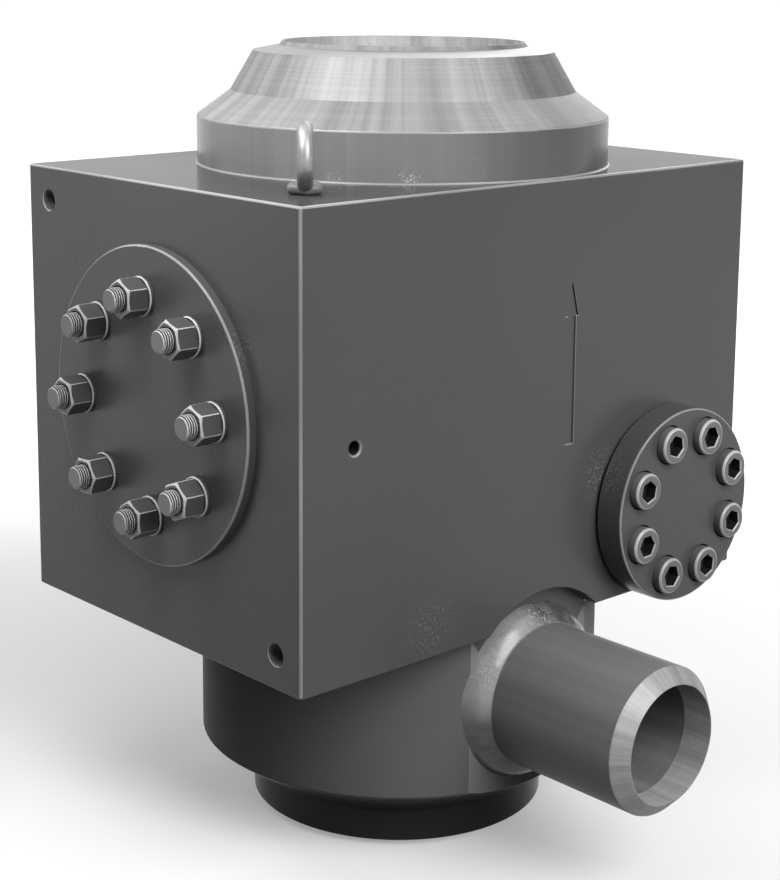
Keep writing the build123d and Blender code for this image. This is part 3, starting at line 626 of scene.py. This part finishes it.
# valve body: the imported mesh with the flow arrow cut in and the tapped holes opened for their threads

bodySet = {
    "arrowX": 28.9 * mm, "arrowTip": 559.2 * mm, "headBase": 526.5 * mm, "headHalf": 8.4 * mm,
    "shaftHalf": 5.2 * mm, "arrowBottom": 403.2 * mm,
    "arrowDepth": 2.0 * mm, "arrowRim": 0.6 * mm, "arrowDraft": 0.4 * mm, "arrowOut": 2 * mm,
    "holes": ((171 * mm, 624.5 * mm), (-171 * mm, 266.5 * mm)),  # place across and height
    "holeRadius": 10.15 * mm, "holeOut": 4 * mm, "holeDepth": 34 * mm, "holeRound": 48,
    "weldReach": 0.002 * mm,
}


def bodyMesh():
    mesh = cadNodes["valve_body"].data.copy()
    mesh.name = "forgedBody"
    mesh.materials.clear()
    return weldSeams(mesh, bodySet["weldReach"])


def arrowCutter():
    s = bodySet
    x, h, w = s["arrowX"], s["headHalf"], s["shaftHalf"]
    # x and height of a corner, and how far it moves each way as the rim widens by one
    outline = [
        (x, s["arrowTip"], 0, 1), (x - h, s["headBase"], -1, -0.6), (x - w, s["headBase"], -0.7, -0.6),
        (x - w, s["arrowBottom"], -0.7, -0.7), (x + w, s["arrowBottom"], 0.7, -0.7),
        (x + w, s["headBase"], 0.7, -0.6), (x + h, s["headBase"], 1, -0.6),
    ]
    front, rim = forms["blockFront"], s["arrowRim"]
    levels = (
        (front - s["arrowOut"], 2 * rim), (front, 2 * rim), (front + rim, rim),
        (front + s["arrowDepth"], -s["arrowDraft"]),
    )
    points = []
    for y, grow in levels:
        points += [(px + dx * grow, y, pz + dz * grow) for px, pz, dx, dz in outline]
    faces = gridFaces(len(levels), len(outline)) + endFaces(len(levels), len(outline))
    return meshOf("arrowCutter", points, faces)


def holeCutter():
    s, points, faces = bodySet, [], []
    count = s["holeRound"]
    for across, up in s["holes"]:
        start = len(points)
        for out in (s["holeOut"], -s["holeDepth"]):
            points += ringOf(across, up, out, s["holeRadius"], evenAngles(count))
        faces += gridFaces(2, count, start) + endFaces(2, count, start)
    return meshOf("holeCutter", points, faces)


def cutAway(mesh, cutterMeshes):
    shape, cutters = addObject("cutWork", mesh), []
    for cutterMesh in cutterMeshes:
        cutter = addObject(cutterMesh.name, weldSeams(cutterMesh))
        cutters.append(cutter)
        cut = shape.modifiers.new(cutter.name, "BOOLEAN")
        cut.operation, cut.solver, cut.object = "DIFFERENCE", "EXACT", cutter
    graph = bpy.context.evaluated_depsgraph_get()
    result = bpy.data.meshes.new_from_object(shape.evaluated_get(graph))
    for spare in (shape, *cutters):
        bpy.data.objects.remove(spare)
    return result


bodyFinishes = [
    "bodyPaint", "outletSteel", "boreSteel", "inletDark", "shadePaint", "neckPaintAndLight", "topPaintedLight", "paintedEdgeHighlight",
    "ringSteel", "cutShade", "softPaintedHighlight", "wallShade", "upperConePaintedShade", "flatPaintedLight",
]

# where one finish of the body ends and the next begins
zoneSet = {
    "slack": 1 * mm,  # how far past its form a face still counts to it
    "portX": -240 * mm, "portRadius": 6.4 * mm,
    "arrowHalf": 13 * mm, "arrowSlack": 2 * mm,
    "edgeWidth": 2.6 * mm, "edgeFoot": 4 * mm,
    "neckEdgeFrom": 3.2 * mm, "neckEdgeTo": 0.1 * mm, "neckEdgeWidth": 4 * mm,
    "recessHalf": 106 * mm, "recessBottom": 200 * mm, "recessTop": 268 * mm, "recessSlack": 0.5 * mm,
    "mouthSlack": 0.3 * mm, "neckSlack": 0.2 * mm, "barrelSlack": 0.5 * mm,
    "insideRadius": 140 * mm, "skin": 3 * mm,
    # how squarely a face looks along an axis
    "slanted": 0.995, "facing": 0.98, "facingDown": -0.9, "lit": 0.3, "litSide": -0.2, "level": 0.05,
}


def arrowFinish(c, way):
    # walls of the engraved arrow: a painted highlight on the rims and ledges that face the light, a fainter
    # one on the other rims, and painted shade on the walls, darker the less light they get
    s, z, front = bodySet, zoneSet, forms["blockFront"]
    inHeight = s["arrowBottom"] - z["arrowSlack"] < c.z < s["arrowTip"] + z["arrowSlack"]
    inDepth = front < c.y < front + s["arrowDepth"]
    if abs(c.x - s["arrowX"]) >= z["arrowHalf"] or not inHeight or not inDepth or abs(way.y) >= z["facing"]:
        return None
    inRim = c.y < front + s["arrowRim"]
    if way.z > z["lit"] or (way.x < z["litSide"] and inRim):
        return "paintedEdgeHighlight"
    if inRim:
        return "softPaintedHighlight"
    return "wallShade" if abs(way.z) < z["level"] else "cutShade"


def isHighlightEdge(c, way, r):
    # rounded edges of the block and of the neck, which take a painted highlight
    f, z, front = forms, zoneSet, forms["blockFront"]
    if max(abs(way.x), abs(way.y), abs(way.z)) >= z["slanted"]:
        return False
    fromSides = min(c.x - f["blockLeft"], f["blockRight"] - c.x, c.y - front, -front - c.y)
    if fromSides < z["edgeWidth"] and c.z > f["blockBottom"] + z["edgeFoot"]:
        return True
    onNeck = f["neckTop"] - z["neckEdgeFrom"] < c.z < f["neckTop"] - z["neckEdgeTo"]
    return onNeck and r > f["neckRadius"] - z["neckEdgeWidth"]


def bodyFinish(face):
    c, way = face.center, face.normal
    f, z, slack = forms, zoneSet, zoneSet["slack"]
    front, flat = f["blockFront"], f["branchFlat"]
    r = math.hypot(c.x, c.y)
    inPort = math.hypot(c.x - z["portX"], c.z - f["blockMiddle"]) < z["portRadius"]
    if inPort and front + slack < c.y < 0:
        return "cutShade"
    arrow = arrowFinish(c, way)
    if arrow:
        return arrow
    if isHighlightEdge(c, way, r):
        return "paintedEdgeHighlight"
    inRecess = abs(c.x) < z["recessHalf"] and z["recessBottom"] < c.z < z["recessTop"]
    if inRecess and front + z["recessSlack"] < c.y < flat + slack and way.z > z["facingDown"]:
        return "bodyPaint"
    if r < f["mouthRadius"] + z["mouthSlack"]:
        return "boreSteel"
    if c.z >= f["neckTop"] - z["neckSlack"]:
        if c.z > f["ringBottom"] and r > f["lipFoot"]:
            return "ringSteel"
        return "upperConePaintedShade" if c.z > f["coneBreak"] else "outletSteel"
    if c.z < f["barrelBottom"] - z["barrelSlack"]:
        return "inletDark"
    if c.z > f["blockTop"] + z["barrelSlack"]:
        return "neckPaintAndLight"
    if c.z < f["blockBottom"] + slack:
        if r < z["insideRadius"] and c.y > flat + slack:
            return "boreSteel"
        return "flatPaintedLight" if way.y < -z["facing"] else "shadePaint"
    if c.z >= f["blockTop"] - slack:
        return "topPaintedLight"
    onFront = c.y < front + z["skin"] or c.y > -front - z["skin"]
    onSide = c.x < f["blockLeft"] + z["skin"] or c.x > f["blockRight"] - z["skin"]
    return "bodyPaint" if onFront or onSide else "boreSteel"


shell = cutAway(bodyMesh(), [arrowCutter(), holeCutter()])
shell.name = "forgedBody"
shell.materials.clear()
newPiece(
    "forgedBody", shell, "valve", ["valve_body"], bodyFinishes, bodyFinish, sharpAngle=19
)
print("body ready,", len(shell.polygons), "faces")


# paint bead in the corner between the neck and the block, coloured light as a painted highlight

neckBeadSet = {"reach": 1.6 * mm, "steps": 4, "round": 256}


def neckBeadMesh():
    s, points = neckBeadSet, []
    for step in range(s["steps"] + 1):
        bend = math.pi / 2 * step / s["steps"]
        r = forms["neckRadius"] + s["reach"] * (1 - math.sin(bend))
        height = forms["blockTop"] + s["reach"] * (1 - math.cos(bend))
        points += [(r * math.cos(a), r * math.sin(a), height) for a in evenAngles(s["round"])]
    return meshOf("neckBead", points, gridFaces(s["steps"] + 1, s["round"]))


newPiece("neckBead", neckBeadMesh(), "valve", None, ["paintedEdgeHighlight"], sharpAngle=60)


# threads in the two tapped holes

tapSet = {
    "crest": 8.75 * mm, "root": 10 * mm, "pitch": 2.5 * mm, "start": -0.9 * mm, "end": -32 * mm,
    "round": 48, "steps": 8,
}
threadForm = {"crestEnd": 0.15, "flank": 0.3, "rootStart": 0.45, "rootEnd": 0.7}  # shares of one pitch


def threadRadius(phase, root, crest):
    # flat crest, sloping flank, flat root
    phase = phase % 1.0
    if phase < threadForm["crestEnd"]:
        return crest
    if phase < threadForm["rootStart"]:
        return crest + (root - crest) * (phase - threadForm["crestEnd"]) / threadForm["flank"]
    if phase < threadForm["rootEnd"]:
        return root
    return root + (crest - root) * (phase - threadForm["rootEnd"]) / threadForm["flank"]


def tapMesh():
    s, points, faces = tapSet, [], []
    rows = int((s["start"] - s["end"]) / s["pitch"] * s["steps"]) + 1
    turns = [i / s["round"] for i in range(s["round"])]
    for across, up in bodySet["holes"]:
        start = len(points)
        for row in range(rows):
            out = s["start"] - row * s["pitch"] / s["steps"]
            radii = [threadRadius(out / s["pitch"] + turn, s["root"], s["crest"]) for turn in turns]
            points += ringOf(across, up, out, radii, evenAngles(s["round"]))
        faces += gridFaces(rows, s["round"], start)
        faces.append(endFaces(rows, s["round"], start)[1])
    return meshOf("tappedThreads", points, faces)


newPiece("tappedThreads", tapMesh(), "valve", None, ["threadShade"])


# bonnet studs with their threads, nuts and washers

studSet = {
    "count": 8, "circle": 100.6 * mm, "first": 87.2, "plateOut": 9.4 * mm, "tipOut": 45.4 * mm,
    "rootOut": -72 * mm, "threadFrom": 34.5 * mm, "crest": 11 * mm, "root": 9.5 * mm, "pitch": 2.5 * mm,
    "tipIn": 0.3 * mm, "crestBand": 0.3 * mm, "shankGap": 0.1 * mm, "endBand": 0.05 * mm,
    "tipHighlight": 1.2 * mm, "round": 48, "steps": 10,
}
nutSet = {
    "flats": 32 * mm, "height": 22 * mm, "hole": 22.8 * mm, "holeEdge": 1.2 * mm, "washer": 4 * mm,
    "foot": 1.0 * mm, "bevel": 1.5 * mm, "bevelDrop": 0.7, "dip": 0.5, "corner": 1.6, "sideSteps": 8,
    "turns": (29, 19, 22, 39, 28, 57, 14, 37),  # degrees, one for each nut
}
washerSet = {
    "outer": 18.5 * mm, "inner": 11.3 * mm, "edge": 0.5 * mm, "bevel": 1.1 * mm, "bevelEnd": 0.1 * mm,
    "round": 72,
}
nutFoot = studSet["plateOut"] + nutSet["washer"]  # where the nuts stand on their washers
studPlaces = list(circlePlaces(studSet, 0, forms["bonnetHeight"]))


def studMesh():
    # rows of points follow the thread, so each row starts one pitch higher after a full turn
    s, points, faces, marks = studSet, [], [], []
    count, turnRows = s["round"], s["steps"]
    step = s["pitch"] / turnRows
    rows = int((s["tipOut"] - s["threadFrom"]) / step) + 2 + turnRows
    tipRadius = s["root"] - s["tipIn"]
    angles = evenAngles(count)
    for across, up in studPlaces:
        start = len(points)
        for row in range(rows):
            climbs = [(row - turnRows + k / count * turnRows) * step for k in range(count)]
            outs = [min(s["threadFrom"] + max(climb, 0), s["tipOut"]) for climb in climbs]
            thread = threadRadius(row / turnRows, s["root"], s["crest"])
            radii = [min(tipRadius + s["tipOut"] - out, thread) for out in outs]
            points += ringOf(across, up, outs, radii, angles)
        for row in range(rows - 1):
            middle = threadRadius((row + 0.5) / turnRows, s["root"], s["crest"])
            onCrest = middle > s["crest"] - s["crestBand"]
            for k in range(count):
                nextRow = row if k < count - 1 else row + turnRows
                if nextRow + 1 >= rows:
                    continue
                a, b = start + row * count + k, start + nextRow * count + (k + 1) % count
                faces.append((a, a + count, b + count, b))
                marks.append(onCrest)
        tip = len(points)
        points += ringOf(across, up, s["tipOut"], tipRadius, angles)
        faces.append(endFaces(1, count, tip)[0])
        shank = len(points)
        points += ringOf(across, up, s["threadFrom"] + s["shankGap"], s["root"], angles)
        points += ringOf(across, up, s["rootOut"], s["root"], angles)
        faces += gridFaces(2, count, shank)
        faces.append(endFaces(2, count, shank)[1])
        marks += [False] * (count + 2)
    return meshOf("bonnetStudTips", points, faces), marks


def nutOutline():
    # angles and radii of a hexagon with narrow flats across its six corners
    s, angles, radii = nutSet, [], []
    for side in range(6):
        for step in range(s["sideSteps"] + 1):
            fromCorner = s["corner"] + (60 - 2 * s["corner"]) * step / s["sideSteps"]
            angles.append(math.radians(60 * side + fromCorner))
            radii.append(s["flats"] / 2 / math.cos(math.radians(fromCorner - 30)))
    return angles, radii


def nutMesh():
    s, points, faces = nutSet, [], []
    low, high = nutFoot, nutFoot + s["height"]
    outline, hexRadii = nutOutline()
    count = len(outline)
    dips = [(q - s["flats"] / 2) * s["dip"] for q in hexRadii]
    bore, mouth = s["hole"] / 2, s["hole"] / 2 + s["holeEdge"]
    rings = [
        (bore, low + s["holeEdge"]), (mouth, low), ([q - s["foot"] for q in hexRadii], low),
        (hexRadii, [low + s["foot"] + d for d in dips]),
        (hexRadii, [high - s["bevel"] * s["bevelDrop"] - d for d in dips]),
        ([q - s["bevel"] - d for q, d in zip(hexRadii, dips)], high),
        (mouth, high), (bore, high - s["holeEdge"]),
    ]
    flankBand, bevelBand = 3, 4  # bands between these rings
    for turn, (across, up) in zip(s["turns"], studPlaces):
        start = len(points)
        turned = [a + math.radians(turn) for a in outline]
        for r, out in rings:
            points += ringOf(across, up, out, r, turned)
        faces += gridFaces(len(rings), count, start, True)
        shift = (len(rings) - 1) * count
        for k in range(count):
            a, b = start + k, start + (k + 1) % count
            faces.append((a, b, b + shift, a + shift))
    mesh = weldSeams(meshOf("bonnetHexNuts", points, faces))
    # the bevel band and the narrow flats at the corners take a painted highlight
    toneMarks = []
    for face in mesh.polygons:
        band, column = divmod(face.index % (len(rings) * count), count)
        onCorner = band == flankBand and column % (s["sideSteps"] + 1) == s["sideSteps"]
        toneMarks.append(band == bevelBand or onCorner)
    return mesh, toneMarks


def washerMesh():
    s, points, faces = washerSet, [], []
    inner, outer, e, b = s["inner"], s["outer"], s["edge"], s["bevel"]
    low, high = studSet["plateOut"], nutFoot
    profile = [(inner, low + e), (inner + e, low), (outer - e, low), (outer, low + e)]
    profile += [(outer, high - b), (outer - b, high), (inner + e, high), (inner, high - e)]
    for across, up in studPlaces:
        start = len(points)
        for r, out in profile + profile[:1]:
            points += ringOf(across, up, out, r, evenAngles(s["round"]))
        faces += gridFaces(len(profile) + 1, s["round"], start, True)
    return weldSeams(meshOf("bonnetWasherRings", points, faces))


studShape, crestMarks = studMesh()
nutShape, nutHighlights = nutMesh()


def studFinish(face):
    # thread crests and the tip's chamfer take a painted highlight, flanks and roots painted shade
    out = forms["blockLeft"] - face.center.x
    if out >= studSet["tipOut"] - studSet["endBand"]:
        return "studPaint"
    onCrest = crestMarks[face.index] or out > studSet["tipOut"] - studSet["tipHighlight"]
    return "crestPaintedHighlight" if onCrest else "threadShade"


def washerFinish(face):
    c = face.center
    out = forms["blockLeft"] - c.x
    fromStud = min(math.hypot(c.y - across, c.z - up) for across, up in studPlaces)
    # the washer's outer bevel takes a painted highlight
    onBevel = nutFoot - washerSet["bevel"] < out < nutFoot - washerSet["bevelEnd"]
    return "paintedRimHighlight" if onBevel and fromStud > nutSet["flats"] / 2 else "fastenerPaint"


studFinishes = ["studPaint", "crestPaintedHighlight", "threadShade"]
nutFinishes = ["fastenerPaint", "paintedRimHighlight"]
newPiece("bonnetStudTips", studShape, "valve", ["bonnet_studs"], studFinishes, studFinish)
newPiece(
    "bonnetHexNuts", nutShape, "valve", ["bonnet_nuts"], nutFinishes,
    lambda face: nutFinishes[nutHighlights[face.index]], sharpAngle=20,
)
newPiece(
    "bonnetWasherRings", washerMesh(), "valve", ["bonnet_washers"], nutFinishes,
    washerFinish, sharpAngle=30,
)
print("bonnet fasteners ready")


# the retainer plate and the hinge cover keep their imported shape, with a painted highlight on rounded rims

rimSet = {"from": 0.12, "to": 0.985}  # how squarely a rounded face looks along the axis


def dressRims(nodeName, pieceName, axis):
    mesh = cadNodes[nodeName].data.copy()
    mesh.materials.clear()
    weldSeams(mesh)

    def rimFinish(face):
        onRim = rimSet["from"] < abs(face.normal.dot(axis)) < rimSet["to"]
        return "paintedEdgeHighlight" if onRim else "bodyPaint"

    rimFinishes = ["bodyPaint", "paintedEdgeHighlight"]
    newPiece(pieceName, mesh, "valve", [nodeName], rimFinishes, rimFinish, sharpAngle=35)


dressRims("bonnet_retainer_plate", "retainerPlate", Vector((1, 0, 0)))
dressRims("hinge_cover", "hingeCoverPlate", Vector((0, 1, 0)))


# eye bolts: a forged ring, flattened a little at its sides, on a collar with six rounded lobes

eyeSet = {
    "places": (("front", -242 * mm, -141 * mm), ("rear", 223 * mm, 141 * mm)), "turn": 51,
    "centre": 687 * mm, "ring": 24.2 * mm, "bar": 7.2 * mm, "flatten": 0.97, "ringSteps": 72, "barSteps": 24,
    "lobeRadius": 15.7 * mm, "lobeDepth": 0.9 * mm, "lobes": 6, "collarSteps": 96,
    "collarBottom": 656.55 * mm,
}
# millimetres above the block and inside the lobes' outline
collarProfile = [
    (0, 3.4), (0.7, 1.9), (2.0, 0.6), (3.6, 0.05), (5.4, 0), (7.0, 0.5), (8.4, 1.6), (9.4, 3.2), (9.8, 5.0),
    (9.6, 7.0), (9.0, 9.0),
]


def eyeBoltMesh(name, x, y):
    s, points, faces = eyeSet, [], []
    turn = math.radians(s["turn"])
    across = Vector((math.cos(turn), math.sin(turn), 0))
    through = Vector((-math.sin(turn), math.cos(turn), 0))
    centre = Vector((x, y, s["centre"]))
    for a in evenAngles(s["ringSteps"]):
        out = across * math.cos(a) + Vector((0, 0, math.sin(a)))
        for b in evenAngles(s["barSteps"]):
            bar = out * (s["ring"] + s["bar"] * math.cos(b))
            points.append(centre + bar + through * (s["bar"] * s["flatten"] * math.sin(b)))
    for i in range(s["ringSteps"]):
        for k in range(s["barSteps"]):
            a, b = i * s["barSteps"], (i + 1) % s["ringSteps"] * s["barSteps"]
            nextBar = (k + 1) % s["barSteps"]
            faces.append((a + k, b + k, b + nextBar, a + nextBar))
    ringFaces, start = len(faces), len(points)
    for height, inset in collarProfile:
        for a in evenAngles(s["collarSteps"]):
            r = s["lobeRadius"] + s["lobeDepth"] * math.cos(s["lobes"] * a) - inset * mm
            level = s["collarBottom"] + height * mm
            points.append((x + r * math.cos(a + turn), y + r * math.sin(a + turn), level))
    faces += gridFaces(len(collarProfile), s["collarSteps"], start)
    faces += endFaces(len(collarProfile), s["collarSteps"], start)
    return meshOf(name, points, faces), ringFaces


for side, x, y in eyeSet["places"]:
    eyeMesh, ringFaces = eyeBoltMesh(side + "EyeBolt", x, y)
    newPiece(
        side + "EyeBolt", eyeMesh, "valve", [side + "_lifting_eye"],
        ["eyeSteel", "screwPaint"], lambda face: "eyeSteel" if face.index < ringFaces else "screwPaint",
    )


# branch: painted pipe with a bare bevel, and the dressed weld at its root

weldSet = {
    "pipeRadius": 69.85 * mm, "footRadius": 86.85 * mm, "toeOut": 20 * mm, "round": 220, "steps": 14,
    "bulge": 2.6 * mm, "bulgeRound": 0.75, "bulgeAlong": 0.65, "lap": 0.6 * mm,
    "lump": (0.9 * mm, 2.6, 1.5), "ripple": (0.35 * mm, 16, 3),  # height, scale, change up the weld
    "edgeLump": 0.72 * mm, "edgeScale": 3.3, "edgePlace": (5, 2, 0),
    "footBack": 4 * mm, "toeBack": 2 * mm,  # how far the hidden first and last rows sink in
}


def unevenness(head, share, height, scale, rise):
    return height * noise.noise(head * scale + Vector((0, 0, share * rise)))


def weldMesh():
    s, points = weldSet, []
    rows = s["steps"] + 1
    flatY = forms["branchFlat"]
    for row in range(rows + 2):
        share = min(max((row - 1) / s["steps"], 0), 1)  # 0 at the foot, 1 at the toe on the pipe
        hump = math.sin(math.pi * share)
        for angle in evenAngles(s["round"]):
            head = Vector((math.cos(angle), math.sin(angle), 0))
            lumps = unevenness(head, share, *s["lump"]) + unevenness(head, share, *s["ripple"])
            edge = noise.noise(head * s["edgeScale"] + Vector(s["edgePlace"]))
            swell = (s["bulge"] + lumps) * hump
            r = s["footRadius"] + (s["pipeRadius"] - s["footRadius"]) * share + swell * s["bulgeRound"]
            r += s["edgeLump"] * edge * (1 - share)
            x = r * math.cos(angle)
            surface = min(-flatY, math.sqrt(max(forms["barrelRadius"] ** 2 - x * x, 0)))
            footY = -surface + s["lap"]
            y = footY * (1 - share) + (flatY - s["toeOut"]) * share - swell * s["bulgeAlong"]
            if row == 0:
                y, r = footY + s["footBack"], r - s["footBack"]
            if row == rows + 1:
                r = r - s["toeBack"]
            points.append((r * math.cos(angle), y, forms["branchHeight"] + r * math.sin(angle)))
    return meshOf("branchWeldBead", points, gridFaces(rows + 2, s["round"]))


newPiece("branchWeldBead", weldMesh(), "valve", ["branch_weld"], ["weldPaintAndLight"], sharpAngle=60)

tubeSet = {
    "round": 144, "outer": 69.85 * mm, "bevelFrom": 350.6 * mm, "bevelInner": 56.45 * mm, "end": 364 * mm,
    "edge": 0.5 * mm, "mouth": 55.5 * mm, "mouthTo": 337 * mm, "inner": 54.85 * mm, "innerFrom": 334 * mm,
    "root": 186 * mm, "outerSlack": 0.2 * mm, "mouthSlack": 0.1 * mm,
}


def tubeMesh():
    s, points = tubeSet, []
    outer, inner, mouth, end, half = s["outer"], s["inner"], s["mouth"], s["end"], s["edge"] / 2
    # radius and distance from the flow axis
    profile = [
        (outer, s["root"]), (outer, s["bevelFrom"] - s["edge"]), (outer - half, s["bevelFrom"] + half),
        (s["bevelInner"], end), (mouth + half, end), (mouth, end - half), (mouth, s["mouthTo"]),
        (inner, s["innerFrom"]), (inner, s["root"]),
    ]
    for r, out in profile + profile[:1]:
        for a in evenAngles(s["round"]):
            points.append((r * math.cos(a), -out, forms["branchHeight"] + r * math.sin(a)))
    return weldSeams(meshOf("branchTube", points, gridFaces(len(profile) + 1, s["round"])))


def tubeFinish(face):
    s, c = tubeSet, face.center
    r = math.hypot(c.x, c.z - forms["branchHeight"])
    if r > s["outer"] - s["outerSlack"] and -c.y < s["bevelFrom"]:
        return "pipePaintAndLight"
    if -c.y > s["innerFrom"]:
        return "mouthSteel" if r < s["mouth"] + s["mouthSlack"] else "branchSteel"
    return "scaleSteel"


tubeFinishes = ["pipePaintAndLight", "branchSteel", "scaleSteel", "mouthSteel"]
newPiece(
    "branchTube", tubeMesh(), "valve", ["branch_pipe"], tubeFinishes, tubeFinish, sharpAngle=40
)
print("eye bolts and branch ready")


# hinge cover screws: rounded heads with hexagon sockets, each stopped at its own turn

screwSet = {
    "count": 8, "circle": 71 * mm, "first": 22.5, "head": 18 * mm, "top": 247.8 * mm, "seat": 223.8 * mm,
    "rim": 3.3 * mm, "rimSteps": 5, "socket": 19 * mm, "socketDepth": 12 * mm, "mouth": 1.0 * mm,
    "shank": 12 * mm, "end": 163.8 * mm, "round": 72,
    "turns": (4, 27, 11, 48, 33, 19, 52, 8),  # degrees, one for each screw
    "highlightDepth": 3 * mm, "highlightFrom": 0.35, "highlightTo": 0.9, "socketSlack": 0.1 * mm, "shadeDepth": 0.2 * mm,
}
screwPlaces = list(circlePlaces(screwSet, forms["hingeX"], forms["hingeHeight"]))


def screwMesh():
    s, points, faces = screwSet, [], []
    count = s["round"]
    fromFlat = [(360 * k / count + 30) % 60 - 30 for k in range(count)]
    hexRadii = [s["socket"] / 2 / math.cos(math.radians(degrees)) for degrees in fromFlat]
    rings = [(s["shank"], s["end"]), (s["shank"], s["seat"]), (s["head"], s["seat"])]
    for step in range(s["rimSteps"] + 1):
        bend = math.pi / 2 * step / s["rimSteps"]
        r = s["head"] - s["rim"] * (1 - math.cos(bend))
        rings.append((r, s["top"] - s["rim"] * (1 - math.sin(bend))))
    rings += [
        ([q + s["mouth"] for q in hexRadii], s["top"]), (hexRadii, s["top"] - s["mouth"]),
        (hexRadii, s["top"] - s["socketDepth"]),
    ]
    for turned, (x, z) in zip(s["turns"], screwPlaces):
        start = len(points)
        for r, out in rings:
            radii = r if isinstance(r, list) else [r] * count
            for q, angle in zip(radii, evenAngles(count)):
                turn = angle + math.radians(turned)
                points.append((x + q * math.cos(turn), -out, z + q * math.sin(turn)))
        faces += gridFaces(len(rings), count, start) + endFaces(len(rings), count, start)
    return weldSeams(meshOf("coverScrews", points, faces))


def screwFinish(face):
    s, c = screwSet, face.center
    fromScrew = min(math.hypot(c.x - x, c.z - z) for x, z in screwPlaces)
    socketCorner = s["socket"] / 2 / math.cos(math.radians(30))
    # the top of the rounded rim takes a painted highlight, the socket painted shade
    if -c.y > s["top"] - s["highlightDepth"] and s["highlightFrom"] < -face.normal.y < s["highlightTo"]:
        return "paintedRimHighlight"
    inSocket = fromScrew < socketCorner - s["socketSlack"] and -c.y > s["seat"]
    return "cutShade" if inSocket and -c.y < s["top"] - s["shadeDepth"] else "screwPaint"


screwFinishes = ["screwPaint", "paintedRimHighlight", "cutShade"]
newPiece(
    "coverScrews", screwMesh(), "valve", ["hinge_cover_screws"], screwFinishes,
    screwFinish, sharpAngle=32,
)
print("cover screws ready")


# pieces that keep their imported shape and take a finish

nodeFinishes = {
    "outletSteel": ["seat_ring", "valve_disc", "disc_washer", "disc_split_pin"],
    "boreSteel": ["disc_nut"],
    "forgedSteel": ["swing_arm"],
    "hingeSteel": ["hinge_shaft"],
    "bonnetSteel": ["bonnet_plug", "bonnet_backing_ring", "bonnet_segment_ring"],
    "bronze": ["arm_bush_front", "arm_bush_rear", "front_shaft_bush", "rear_shaft_bush"],
    "graphite": ["hinge_cover_gasket", "bonnet_seal_ring"],
}
for finishName, nodeNames in nodeFinishes.items():
    for node in [cadNodes[nodeName] for nodeName in nodeNames]:
        if not node.material_slots:
            node.data.materials.append(finishes[finishName])
        for slot in node.material_slots:
            slot.material = finishes[finishName]
print("nodes dressed")
